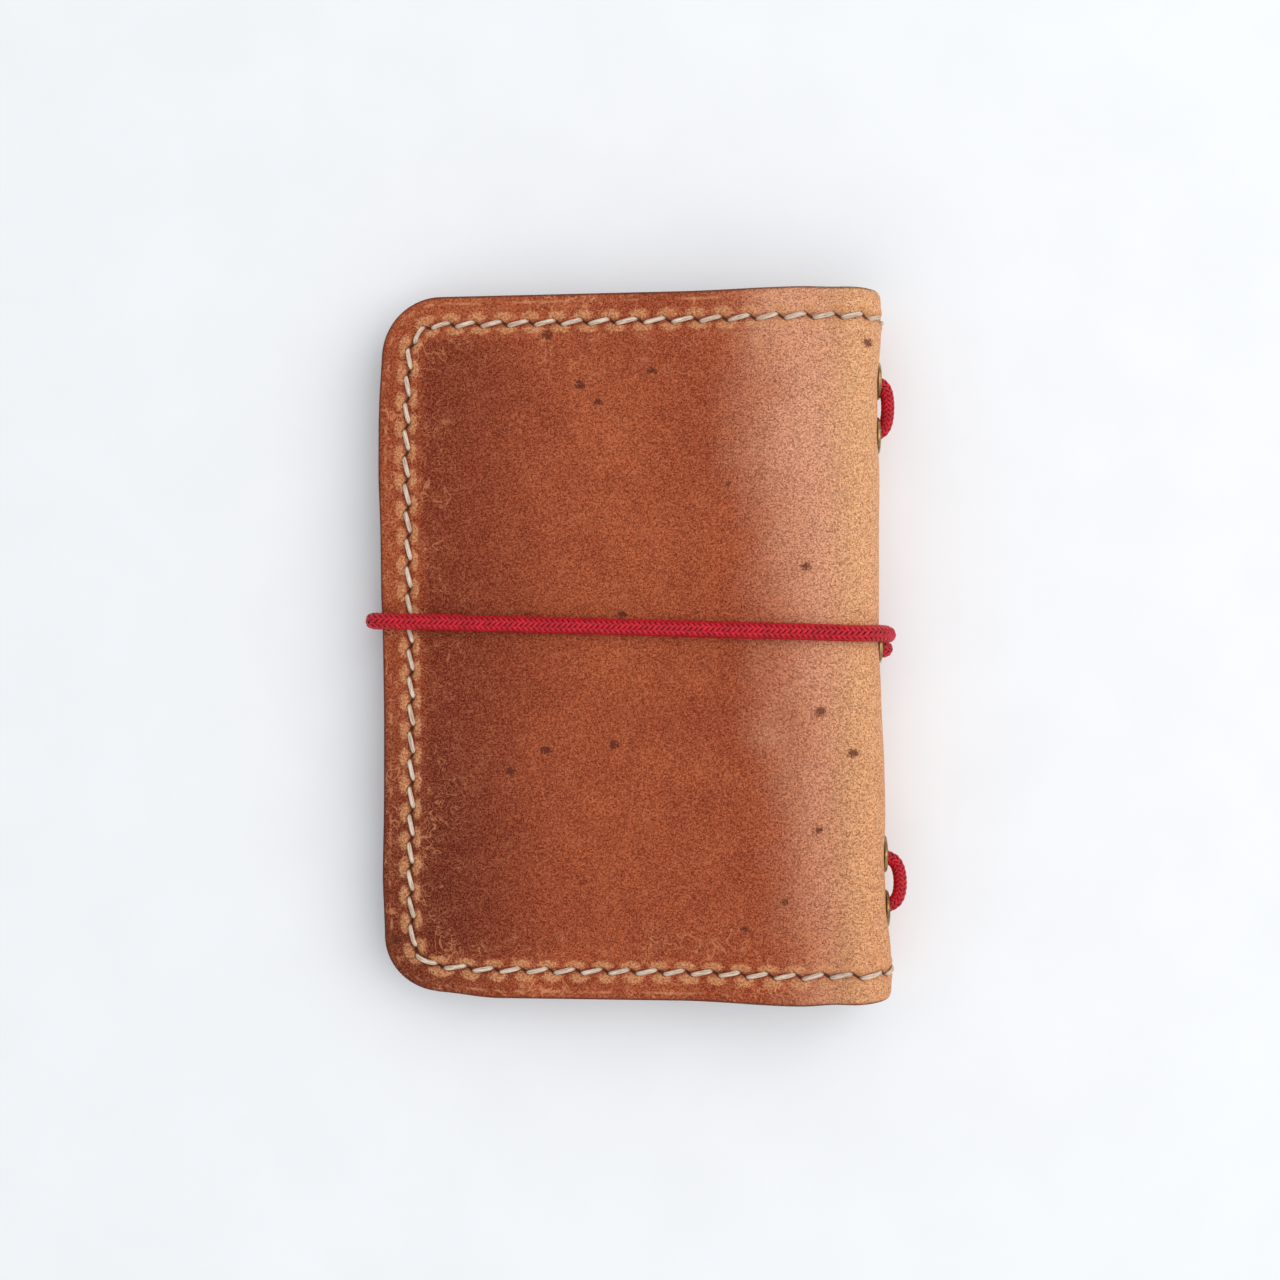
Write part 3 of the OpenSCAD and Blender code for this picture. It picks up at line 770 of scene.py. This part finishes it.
def over(u, v, lift, radius=BAND_R):
    """A point of the band's route, lift outside the wrap's outer surface."""
    x, y, z = place(np.array([u]), np.array([v]), np.array([-lift]))[0]
    return (x, y, z, radius)


# The band's ends in the centre eyelet, as (u from the middle of the spine, v, lift, radius) in mm.
BAND_OUT = [
    (0, 0.95, -2.7, 0.88), (0, 0.95, -0.6, 0.88), (0.1, 0.95, 0.4, 0.88), (0.8, 1.15, 1.2, 0.88),
    (1.9, 1.4, 1.45, 1),
]
BAND_IN = [
    (-1.9, BAND_BACK_V / MM, 1.45, 1), (-0.8, -0.95, 1.2, 0.88), (-0.1, -0.95, 0.4, 0.88),
    (0, -0.95, -0.6, 0.88), (0, -0.95, -2.7, 0.88),
]


def in_eyelet(points):
    return [over(SPINE_MID_U + a * MM, v * MM, lift * MM, r * MM) for a, v, lift, r in points]


def band_route():
    """Out of the centre eyelet, over the front, round the fore edge, back under, and in again."""
    touch = BAND_R - 0.05 * MM
    edge_x, _, top_z = place(np.array([WRAP_W]), np.array([BAND_FORE_V]), np.array([0.0]))[0]
    under_z = 2 * BAND_R + 0.1 * MM
    fore_x = edge_x - BAND_R + 0.08 * MM
    edge = 0.66 * BAND_R
    route = in_eyelet(BAND_OUT) + [
        over(BEND_U[2] - 0.6 * MM, 1.6 * MM, touch + 0.1 * MM),
        over(CUT_U[2], BAND_FRONT_V, touch),
        over(BEND_U[3] + 1 * MM, BAND_FRONT_V, touch),
    ]
    for part in (0.12, 0.3, 0.5, 0.7, 0.88, 0.97):
        u = BEND_U[3] + FRONT_W * part
        route.append(over(u, float(band_v(np.array([u]))[0]), touch))
    route += [
        (edge_x - edge, BAND_FORE_V, top_z + edge, BAND_R),
        (fore_x, BAND_FORE_V, top_z - 0.7 * MM, BAND_R),
        (fore_x, BAND_FORE_V, (top_z + BACK_Z) / 2, BAND_R),
        (fore_x, BAND_FORE_V, under_z + 0.5 * MM, BAND_R),
        (edge_x - edge, BAND_FORE_V, under_z - edge, BAND_R),
    ]
    for x in (FORE_X + 1.2 * MM, -25 * MM, -5 * MM, 12 * MM, 26 * MM, 32 * MM, 34.6 * MM):
        v = BAND_FORE_V + (BAND_BACK_V - BAND_FORE_V) * (x - FORE_X) / (BACK_W + 3 * MM)
        route.append((x, v, BAND_R, BAND_R))
    route += [
        over(BEND_U[1] - 1.6 * MM, BAND_BACK_V, touch + 0.1 * MM),
        over(BEND_U[1] + 0.6 * MM, BAND_BACK_V, touch),
    ]
    return route + in_eyelet(BAND_IN)


BAND_LAY = 6.3 * MM
BAND_END_STEPS = 21


def closure_elastic(material):
    """The loop turns about the centre eyelet; its two ends stay in the eyelet."""
    route = band_route()
    loop = braided_cord("closure_elastic", route, BAND_LAY, material,
                        ((BAND_END_STEPS, -BAND_END_STEPS),))
    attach(loop, "closure_band")
    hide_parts("closure_band")
    ends = braided_cord("closure_elastic_ends", route, BAND_LAY, material,
                        ((0, BAND_END_STEPS + 1), (-BAND_END_STEPS - 1, None)))
    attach(ends, "spine")


def middle_strip():
    """Middle of the spine's upright strip and its direction, as (x, z)."""
    ahead = BEND_AT[2] - BEND_AT[1]
    return (BEND_AT[1] + BEND_AT[2]) / 2, ahead / np.linalg.norm(ahead)


# The insert elastic's route over the middle strip, as (along strip, y, depth) in millimetres.
INSERT_R = 0.95 * MM
INSERT_LAY = 5.6 * MM
KNOT_CORD_R = 0.62 * MM
KNOT_LAY = 5 * MM
KNOT_SIZE = 0.3  # of the width of the CAD knot
KNOT_POINTS = 140
LOOP_STAND = {1: 1.5, -1: 2.2}
UP_THROUGH = [
    (-0.9, 28.9, 4.22), (-0.7, 29.7, 3.9), (-0.62, 30.15, 3.2), (-0.6, 30.4, 2.6), (-0.6, 30.8, 1),
    (-0.5, 31.3, -0.2),
]
DOWN_THROUGH = [
    (0.5, 38.4, -0.2), (0.6, 38.9, 1), (0.65, 38.5, 2.6), (0.68, 38.3, 3.2), (0.8, 37.85, 3.9),
    (1.1, 37, 4.22), (1.3, 35.9, 4.25),
]
INNER_STRAND = [
    (1.6, -32, 4.2), (1.7, -20, 4.3), (2.2, -9, 4.5), (3.6, 0, 4.7), (2.2, 9, 4.5), (1.7, 20, 4.3),
    (1.6, 32, 4.2),
]
INSERT_START = [(-2, -17, 4.5), (-1.5, -24, 4.2), (-1, -27.8, 4.25)]
INSERT_END = [
    (-1, 27.8, 4.25), (-1.5, 24, 4.2), (-1.8, 15, 4.2), (-2.2, 9, 4.5), (-3.6, 0, 4.7),
    (-2.4, -8, 4.6), (-2, -13, 4.5),
]


def outside_loop(side):
    """The elastic up through one eyelet of a pair, over, and down through the other."""
    stand = LOOP_STAND[side]
    over_hide = [
        (-0.45, 31.95, -0.62 * stand), (-0.3, 33.1, -0.9 * stand), (0, 34.85, -stand),
        (0.3, 36.6, -0.9 * stand), (0.45, 37.75, -0.62 * stand),
    ]
    loop = UP_THROUGH + over_hide + DOWN_THROUGH
    carried = seat(34.85 * MM * side) / MM
    return [(a, y * side, d - carried * (d < 2.8)) for a, y, d in loop]


def insert_route():
    whole = INSERT_START + outside_loop(-1) + INNER_STRAND + outside_loop(1)[::-1] + INSERT_END
    middle, ahead = middle_strip()
    inward = np.array([-ahead[1], ahead[0]])
    route = []
    for a, y, d in whole:
        x, z = middle + (ahead * a + inward * d) * MM
        route.append((x, y * MM, z, INSERT_R))
    return route


def knot(name, material, node):
    """A small overhand knot in place of a CAD knot: a tube along a trefoil."""
    low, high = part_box(node)
    centre = np.array((low + high) / 2)
    t = np.linspace(0, 2 * math.pi, KNOT_POINTS)
    shape = np.stack([
        np.sin(t) + 2 * np.sin(2 * t), np.cos(t) - 2 * np.cos(2 * t), -np.sin(3 * t),
    ], -1) / 3
    size = (high.x - low.x) * KNOT_SIZE
    path = shape[:, [2, 0, 1]] * size * [0.9, 1, 1] + centre
    piece = braided_cord(name, [(*p, KNOT_CORD_R) for p in path[::5]], KNOT_LAY, material)
    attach(piece, "spine")
    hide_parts(node)


# ---- eyelets ----


EYELET_SIDES = 48


def lathe(outline, centre, axis):
    """A closed outline of (radius, along axis) turned round an axis that is square to Y."""
    across = np.array([0.0, 1.0, 0.0])
    other = np.cross(axis, across)
    angle = np.arange(EYELET_SIDES) / EYELET_SIDES * 2 * math.pi
    points, faces = [], []
    for r, h in outline:
        ring = centre + axis * h + r * (
            np.cos(angle)[:, None] * across + np.sin(angle)[:, None] * other
        )
        points.append(ring)
    for i in range(len(outline)):
        a, b = i * EYELET_SIDES, (i + 1) % len(outline) * EYELET_SIDES
        for k in range(EYELET_SIDES):
            m = (k + 1) % EYELET_SIDES
            faces.append([a + k, b + k, b + m, a + m])
    return np.concatenate(points), faces


# Heights run outwards from the hide's outer surface.
EYELET_OUTLINE = [
    (1.9, -3.1), (1.9, -1.5), (1.9, -0.3), (1.93, 0), (2, 0.2), (2.12, 0.33), (2.28, 0.38),
    (2.48, 0.36), (2.66, 0.26), (2.77, 0.12), (2.8, -0.02), (2.78, -0.14), (2.6, -0.2),
    (2.3, -0.22), (2.3, -1.5), (2.3, -2.68), (2.5, -2.72), (2.6, -2.85), (2.55, -3.02),
    (2.35, -3.15), (2.1, -3.18), (1.95, -3.15),
]
WASHER_OUTLINE = [
    (2.33, -2.41), (2.58, -2.41), (2.64, -2.48), (2.66, -2.56), (2.62, -2.64), (2.55, -2.69),
    (2.33, -2.69),
]


def eyelet_rings(name, outline, material, node):
    middle, ahead = middle_strip()
    outward = np.array([ahead[1], 0, -ahead[0]])
    points, faces, offset = [], [], 0
    for y in EYELET_Y:
        centre = np.array([middle[0], y, middle[1]]) + outward * seat(y)
        p, f = lathe([(r * MM, h * MM) for r, h in outline], centre, outward)
        faces += [[k + offset for k in face] for face in f]
        offset += len(p)
        points.append(p)
    piece = new_mesh(name, np.concatenate(points), faces, material)
    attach(piece, "spine")
    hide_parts(node)


# ---- materials ----


def srgb(r, g, b):
    """Linear colour from 8-bit display values."""
    def line(c):
        c /= 255
        return c / 12.92 if c <= 0.04045 else ((c + 0.055) / 1.055) ** 2.4
    return (line(r), line(g), line(b), 1.0)


class Nodes:
    """A few short calls for building a material's node tree."""

    def __init__(self, name):
        self.material = bpy.data.materials.new(name)
        self.material.use_nodes = True
        self.tree = self.material.node_tree
        self.shader = self.tree.nodes["Principled BSDF"]

    def put(self, value, socket):
        if isinstance(value, bpy.types.NodeSocket):
            self.tree.links.new(value, socket)
        elif value is not None:
            socket.default_value = value

    def add(self, kind, output, inputs, **settings):
        """A new node with these settings and inputs. Returns one of its outputs."""
        node = self.tree.nodes.new("ShaderNode" + kind)
        for name, value in settings.items():
            setattr(node, name, value)
        for name, value in inputs.items():
            self.put(value, node.inputs[name])
        return node.outputs[output]

    def attribute(self, name, part="Fac"):
        return self.add("Attribute", part, {}, attribute_name=name)

    def objects(self):
        return self.add("TexCoord", "Object", {})

    def mapped(self, vector, scale=(1, 1, 1), turn=0.0):
        inputs = {"Vector": vector, "Scale": scale, "Rotation": (0, 0, turn)}
        return self.add("Mapping", "Vector", inputs)

    def noise(self, vector, scale, detail=4.0, rough=0.55, distortion=0.0):
        inputs = {"Vector": vector, "Scale": scale, "Detail": detail}
        return self.add("TexNoise", "Fac", inputs | {"Roughness": rough, "Distortion": distortion})

    def voronoi(self, vector, scale, output="Distance"):
        return self.add("TexVoronoi", output, {"Vector": vector, "Scale": scale}, feature="F1")

    def ramp(self, value, low, high, out_low=0.0, out_high=1.0):
        inputs = {"Value": value, "From Min": low, "From Max": high}
        return self.add("MapRange", "Result", inputs | {"To Min": out_low, "To Max": out_high},
                        interpolation_type="SMOOTHSTEP")

    def math(self, kind, a, b=None):
        return self.add("Math", 0, {0: a, 1: b}, operation=kind)

    def plus(self, a, b):
        return self.math("ADD", a, b)

    def minus(self, a, b):
        return self.math("SUBTRACT", a, b)

    def times(self, a, b):
        return self.math("MULTIPLY", a, b)

    def size(self, a):
        return self.math("ABSOLUTE", a)

    def mix(self, factor, a, b, kind="MIX"):
        inputs = {"Factor": factor, "A": a, "B": b}
        return self.add("Mix", "Result", inputs, data_type="RGBA", blend_type=kind)

    def tint(self, colour, mask, strength, shade):
        return self.mix(self.times(mask, strength), colour, shade)

    def split(self, vector):
        node = self.tree.nodes.new("ShaderNodeSeparateXYZ")
        self.put(vector, node.inputs[0])
        return node.outputs

    def bump(self, height, distance, strength=1.0, below=None):
        inputs = {"Height": height, "Distance": distance, "Strength": strength, "Normal": below}
        return self.add("Bump", "Normal", inputs)

    def finish(self, colour, roughness, normal, **sockets):
        self.put(colour, self.shader.inputs["Base Color"])
        self.put(roughness, self.shader.inputs["Roughness"])
        self.put(normal, self.shader.inputs["Normal"])
        for name, value in sockets.items():
            self.shader.inputs[name.replace("_", " ")].default_value = value
        return self.material


def curls(n, flat, scale, seed_shift):
    """Fine curled hairlines: the thin contour lines of a noise, shown here and there."""
    moved = n.mapped(flat, (1, 1, 1), seed_shift)
    wander = n.noise(moved, scale, 2, 0.5, 1.2)
    line = n.ramp(n.size(n.minus(wander, 0.5)), 0.022, 0.006)
    return n.times(line, n.ramp(n.noise(moved, scale * 0.45, 1, 0.5), 0.5, 0.62))


def hide_tone(n, flat, inset, from_fold):
    """Waxed cognac, with painted shade deepest beside the fore edge and towards the bottom; paler
    and golden towards the bends, partly from the pulled-up leather and partly painted light.
    """
    height = n.split(flat)[1]
    cloud = n.noise(flat, 0.045, 5, 0.6, 0.6)
    patch = n.noise(flat, 0.2, 4, 0.6)
    colour = n.mix(n.ramp(cloud, 0.3, 0.72), srgb(144, 61, 33), srgb(161, 77, 45))
    colour = n.mix(n.ramp(patch, 0.4, 0.75, 0, 0.4), colour, srgb(128, 49, 27))
    # Painted shade: darker inside the stitch line towards the fore edge, where the cover slopes down
    # away from the light.
    deep = n.times(n.ramp(from_fold, 36, 62, 0, 0.75), n.ramp(inset, 5, 7.5))
    colour = n.mix(deep, colour, srgb(108, 30, 14))
    # Painted shade: beside the fore edge the hide darkens further towards the bottom.
    low = n.times(n.ramp(from_fold, 46, 66, 0, 0.65), n.ramp(height, 12, -36))
    colour = n.mix(low, colour, srgb(88, 22, 11))
    wander = n.times(n.minus(cloud, 0.5), 16.0)
    leaning = n.minus(wander, n.times(height, 0.075))
    # Paler towards the bends: partly the pulled-up leather's own colour, partly painted light on the
    # curve round the spine.
    pull = n.ramp(n.plus(from_fold, leaning), 19, 3)
    colour = n.tint(colour, pull, 0.9, srgb(209, 150, 118))
    # Golden at the bend lines: partly stretched leather, partly a painted highlight where the
    # surface turns towards the light.
    bend_pale_and_highlight = n.ramp(n.plus(from_fold, n.times(wander, 0.2)), 6, 0.5)
    colour = n.tint(colour, bend_pale_and_highlight, 0.85, srgb(208, 156, 112))
    # Painted shade: the whole hide darkens towards the bottom (lower v).
    painted_shade_lower = n.ramp(height, 30, -50, 0, 0.75)
    return n.mix(painted_shade_lower, colour, srgb(244, 232, 226), "MULTIPLY"), patch


def hide_grain(n, flat, colour):
    """Light and dark speckle, as coarse as the pores, fading into the colour under it."""
    speck = n.noise(flat, 2.6, 5, 0.85, 0.3)
    grain = n.noise(flat, 5.2, 4, 0.8)
    cell = n.split(n.voronoi(flat, 4.6, output="Color"))[0]
    light = n.mix(0.14, n.mix(0.65, colour, colour, "ADD"), srgb(246, 190, 140))
    dark = n.mix(0.9, colour, srgb(152, 104, 88), "MULTIPLY")
    for value, strength in ((speck, 0.75), (grain, 0.8)):
        colour = n.mix(n.ramp(value, 0.51, 0.61, 0, strength), colour, light)
        colour = n.mix(n.ramp(value, 0.48, 0.38, 0, strength), colour, dark)
    colour = n.mix(n.ramp(cell, 0.6, 1.0, 0, 0.5), colour, light)
    return n.mix(n.ramp(cell, 0.4, 0.0, 0, 0.5), colour, dark), grain


def hide_marks(n, flat, inset, colour):
    """Curled hairlines and the hide's own small dark marks with a pale rim."""
    near_edge = n.ramp(inset, 16, 3, 0.12, 0.55)
    for scale, shift in ((0.55, 0.4), (0.9, 1.9), (0.3, 2.7)):
        line = n.times(curls(n, flat, scale, shift), near_edge)
        colour = n.mix(line, colour, srgb(214, 142, 98))
    stretched = n.mapped(flat, (0.8, 1, 1), 0.3)
    ragged = n.times(n.minus(n.noise(flat, 2.4, 5, 0.8), 0.5), 0.5)
    spot = n.plus(n.voronoi(stretched, 0.16), ragged)
    pick = n.split(n.voronoi(stretched, 0.16, output="Color"))[0]
    chosen = n.ramp(pick, 0.3, 0.32)
    dark = n.times(n.ramp(spot, 0.11, 0.06), chosen)
    rim = n.times(n.ramp(spot, 0.17, 0.11), chosen)
    colour = n.tint(colour, rim, 0.16, srgb(196, 120, 82))
    return n.tint(colour, dark, 0.8, srgb(84, 26, 24)), dark


def hide_stitch_line(n, flat, inset, colour):
    """Pale fibrous lips round each awl slit, and the slit between two stitches, painted dark as
    shade in the hole.
    """
    wave = n.split(n.attribute("wave", "Vector"))
    to_mm = PITCH / MM / (2 * math.pi)
    along = n.times(n.math("ARCTAN2", wave[1], wave[0]), to_mm)
    x = n.minus(inset, STITCH_INSET / MM)
    fibre = n.noise(flat, 3.2, 5, 0.8, 0.6)

    def lip(shift, offset, reach_along, reach_across):
        a = n.math("DIVIDE", n.plus(along, shift), reach_along)
        b = n.math("DIVIDE", n.plus(x, offset), reach_across)
        square = n.plus(n.times(a, a), n.times(b, b))
        rough = n.plus(square, n.ramp(fibre, 0.3, 0.7, 0.6, -0.6))
        return n.ramp(rough, 1.3, 0.3)

    lips = n.math("MAXIMUM", lip(0.2, 0.95, 1.4, 0.8), lip(-0.35, -0.85, 1.5, 0.7))
    pale = n.mix(n.ramp(fibre, 0.42, 0.58), srgb(168, 92, 54), srgb(230, 172, 122))
    colour = n.mix(n.times(lips, 0.68), colour, pale)
    # Painted shade along the pressed stitch line, beside the thread.
    stitch_line_shade = n.ramp(n.size(x), 0.62, 0.3, 0, 0.3)
    colour = n.mix(stitch_line_shade, colour, srgb(96, 42, 24))
    # Painted shade: the awl slit between two stitches is darkened as the shade inside the hole.
    off = n.minus(x, n.times(along, SLIT_SLOPE))
    across = n.times(n.size(off), 1 / math.hypot(1, SLIT_SLOPE))
    ends = n.ramp(n.size(along), 0.9, 0.6)
    slit = n.times(n.ramp(across, 0.28, 0.12), ends)
    return n.tint(colour, slit, 0.85, srgb(72, 28, 17))


def outer_leather():
    """The outside hide. The flat attribute is the hide's own (u, v) in millimetres."""
    n = Nodes("cognac_hide")
    flat = n.attribute("flat", "Vector")
    inset = n.attribute("inset")
    from_fold = n.attribute("from_fold")
    colour, patch = hide_tone(n, flat, inset, from_fold)
    colour, grain = hide_grain(n, flat, colour)
    colour, marks = hide_marks(n, flat, inset, colour)
    broken = n.ramp(n.noise(flat, 0.35, 3, 0.6), 0.45, 0.62, 0, 0.5)
    crease = n.ramp(n.size(n.minus(inset, 1.25)), 0.3, 0.08)
    colour = n.mix(n.times(crease, broken), colour, srgb(212, 146, 104))
    colour = hide_stitch_line(n, flat, inset, colour)
    colour = n.mix(n.ramp(inset, 0.6, 0.1, 0, 0.8), colour, srgb(78, 34, 20))
    pores = n.voronoi(flat, 2.6)
    low = n.bump(n.ramp(pores, 0.0, 0.5), 0.00005, 0.5)
    mid = n.bump(n.noise(flat, 1.1, 5, 0.65), 0.00022, 0.6, low)
    wide = n.bump(n.noise(flat, 0.16, 3, 0.5), 0.0008, 0.5, mid)
    normal = n.bump(n.minus(1.0, marks), 0.00015, 0.7, wide)
    rough = n.plus(n.ramp(patch, 0.3, 0.7, 0.52, 0.62), n.ramp(grain, 0.3, 0.7, -0.05, 0.06))
    return n.finish(colour, rough, normal, Specular_IOR_Level=0.08)


def inner_leather(name, light, dark, speck_colour, roughness):
    """Plain split leather for the lining and the pockets, with a rubbed edge."""
    n = Nodes(name)
    flat = n.attribute("flat", "Vector")
    inset = n.attribute("inset")
    cloud = n.noise(flat, 0.07, 5, 0.6, 0.4)
    fibre = n.noise(n.mapped(flat, (1, 2.4, 1), 0.4), 1.7, 5, 0.7)
    colour = n.mix(n.ramp(cloud, 0.3, 0.7), dark, light)
    colour = n.mix(n.ramp(fibre, 0.48, 0.75, 0, 0.5), colour, speck_colour)
    colour, _ = hide_grain(n, flat, colour)
    colour = n.mix(n.ramp(inset, 1.0, 0.2, 0, 0.8), colour, srgb(104, 58, 36))
    fine = n.bump(n.noise(flat, 5.5, 3, 0.7), 0.00008, 0.6)
    normal = n.bump(fibre, 0.00018, 0.6, fine)
    return n, colour, n.ramp(fibre, 0.3, 0.7, roughness - 0.06, roughness + 0.08), normal


def lining_leather():
    n, colour, rough, normal = inner_leather(
        "lining_hide", srgb(204, 162, 122), srgb(192, 148, 108), srgb(222, 188, 150), 0.78)
    return n.finish(colour, rough, normal, Specular_IOR_Level=0.25, Sheen_Weight=0.12)


def pocket_hide():
    """Thin hide with a creased line beside its open edge."""
    n, colour, rough, normal = inner_leather(
        "pocket_hide", srgb(174, 100, 62), srgb(160, 86, 52), srgb(192, 124, 84), 0.6)
    gap = n.attribute("open_gap")
    off_crease = n.size(n.minus(gap, 2.2))
    crease = n.ramp(off_crease, 0.42, 0.12)
    colour = n.tint(colour, crease, 0.55, srgb(96, 48, 30))
    colour = n.mix(n.ramp(gap, 0.8, 0.1, 0, 0.8), colour, srgb(98, 52, 33))
    normal = n.bump(n.minus(1.0, crease), 0.00025, 0.8, normal)
    return n.finish(colour, rough, normal, Specular_IOR_Level=0.35)


def elastic_cover():
    """Crimson braid: each strand is a bundle of fine filaments."""
    n = Nodes("crimson_braid")
    across = n.attribute("across")
    place_in = n.objects()
    tone = n.noise(place_in, 900, 3, 0.6)
    fibre = n.noise(place_in, 5200, 2, 0.6)
    colour = n.mix(n.ramp(tone, 0.3, 0.7), srgb(170, 4, 24), srgb(212, 12, 38))
    colour = n.mix(n.ramp(fibre, 0.52, 0.75, 0, 0.35), colour, srgb(234, 62, 82))
    # Painted shade: each strand darkens towards its sides, where it meets and tucks under its
    # neighbours.
    edge = n.ramp(n.size(across), 0.5, 0.95, 0, 0.92)
    colour = n.mix(edge, colour, srgb(64, 0, 8))
    ribs = n.math("SINE", n.times(across, 14.0))
    low = n.bump(fibre, 0.00004, 0.6)
    normal = n.bump(ribs, 0.00002, 0.5, low)
    return n.finish(colour, 0.42, normal, Specular_IOR_Level=0.35)


def waxed_thread():
    """Off-white waxed linen: long fibres, a little grime, darker where it enters the hide."""
    n = Nodes("waxed_linen")
    fibre = n.attribute("fibre", "Vector")
    strands = n.noise(n.mapped(fibre, (1.6, 1.6, 0.9)), 2.4, 3, 0.6, 0.3)
    fuzz = n.noise(n.objects(), 3000, 4, 0.7)
    colour = n.mix(n.ramp(strands, 0.36, 0.62), srgb(170, 138, 112), srgb(240, 222, 202))
    colour = n.mix(n.ramp(fuzz, 0.5, 0.75, 0, 0.3), colour, srgb(176, 150, 126))
    tips = n.size(n.minus(n.split(fibre)[2], 0.5))
    colour = n.mix(n.ramp(tips, 0.36, 0.5, 0, 0.75), colour, srgb(132, 82, 54))
    low = n.bump(fuzz, 0.00004, 0.6)
    normal = n.bump(strands, 0.00016, 0.7, low)
    return n.finish(colour, 0.66, normal, Specular_IOR_Level=0.3)


def antique_brass():
    """Dark patina in the hollows, brighter metal where it is rubbed."""
    n = Nodes("antique_brass")
    place_in = n.objects()
    patina = n.noise(place_in, 700, 5, 0.65)
    fine = n.noise(place_in, 4200, 3, 0.6)
    colour = n.mix(n.ramp(patina, 0.35, 0.65), srgb(120, 96, 62), srgb(186, 156, 104))
    colour = n.mix(n.ramp(fine, 0.55, 0.75, 0, 0.4), colour, srgb(84, 64, 42))
    rough = n.ramp(patina, 0.3, 0.7, 0.42, 0.27)
    normal = n.bump(fine, 0.00002, 0.5)
    return n.finish(colour, rough, normal, Metallic=0.92)


# ---- room, light and camera ----


FLOOR_HALF = 1.2


def paper_floor():
    n = Nodes("pale_paper")
    tone = n.noise(n.objects(), 60, 3, 0.5)
    colour = n.mix(n.ramp(tone, 0.3, 0.7), (0.86, 0.87, 0.885, 1), (0.88, 0.89, 0.905, 1))
    return n.finish(colour, 0.9, None, Specular_IOR_Level=0.1)


def floor():
    half = FLOOR_HALF
    corners = [(-half, -half, 0), (half, -half, 0), (half, half, 0), (-half, half, 0)]
    plane = new_mesh("floor", corners, [[0, 1, 2, 3]], paper_floor(), False)


def area_light(name, at, size, power, colour):
    lamp = bpy.data.lights.new(name, "AREA")
    lamp.shape = "RECTANGLE"
    lamp.size, lamp.size_y = size
    lamp.energy = power
    lamp.color = colour
    light = bpy.data.objects.new(name, lamp)
    light.location = at
    towards = np.array([0, 0, 0.01]) - np.array(at)
    light.rotation_euler = (
        math.atan2(math.hypot(towards[0], towards[1]), -towards[2]),
        0,
        math.atan2(towards[1], towards[0]) - math.pi / 2,
    )
    bpy.context.scene.collection.objects.link(light)


def studio():
    world = bpy.data.worlds.new("studio")
    world.use_nodes = True
    sky = world.node_tree.nodes["Background"].inputs
    sky["Color"].default_value = (0.94, 0.97, 1, 1)
    sky["Strength"].default_value = 0.72
    bpy.context.scene.world = world
    bpy.context.scene.view_settings.view_transform = "Standard"
    area_light("key", (0.52, 0.16, 0.75), (0.95, 0.95), 4.7, (1, 0.985, 0.97))
    area_light("fill", (-0.1, -0.6, 0.7), (0.6, 0.6), 0.6, (0.96, 0.98, 1))


CAMERA_HEIGHT = 245 * MM
CAMERA_OFF = (1.3 * MM, 0.9 * MM)
CAMERA_TURN = math.radians(-0.3)
VIEW_WIDTH = 186 * MM
VIEW_LEVEL = 12 * MM
FILM = 36


def camera():
    data = bpy.data.cameras.new("camera")
    data.sensor_width = FILM
    data.lens = FILM * (CAMERA_HEIGHT - VIEW_LEVEL) / VIEW_WIDTH
    data.clip_start = 0.01
    eye = bpy.data.objects.new("camera", data)
    eye.location = (*CAMERA_OFF, CAMERA_HEIGHT)
    eye.rotation_euler = (0, 0, CAMERA_TURN)
    bpy.context.scene.collection.objects.link(eye)
    bpy.context.scene.camera = eye


def main():
    camera()
    studio()
    floor()
    hide, lining, pocket_material = outer_leather(), lining_leather(), pocket_hide()
    brass, red, thread = antique_brass(), elastic_cover(), waxed_thread()
    wrap_sheet("cover_leather", OUTER_SECTION, pressed_hide, HIDE_NODES, hide)
    wrap_sheet("lining", LINING_SECTION, pressed_lining, LINING_NODES, lining)
    pocket("back_pocket_sheet", POCKET_REACH, POCKET_T, LINED_T, False, pocket_material,
           "back_pocket")
    pocket("back_slot_sheet", SLOT_REACH, SLOT_T, POCKET_T, False, pocket_material,
           "back_card_slot")
    pocket("front_pocket_sheet", POCKET_REACH, POCKET_T, LINED_T, True, pocket_material,
           "front_pocket")
    stitching(thread)
    eyelet_rings("eyelet_set", EYELET_OUTLINE, brass, "eyelets")
    eyelet_rings("washer_set", WASHER_OUTLINE, brass, "eyelet_washers")
    closure_elastic(red)
    insert = braided_cord("insert_elastic_loop", insert_route(), INSERT_LAY, red)
    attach(insert, "spine")
    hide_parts("insert_elastic")
    knot("band_knot", red, "closure_band_knot")
    knot("insert_knot", red, "insert_elastic_knot")


main()
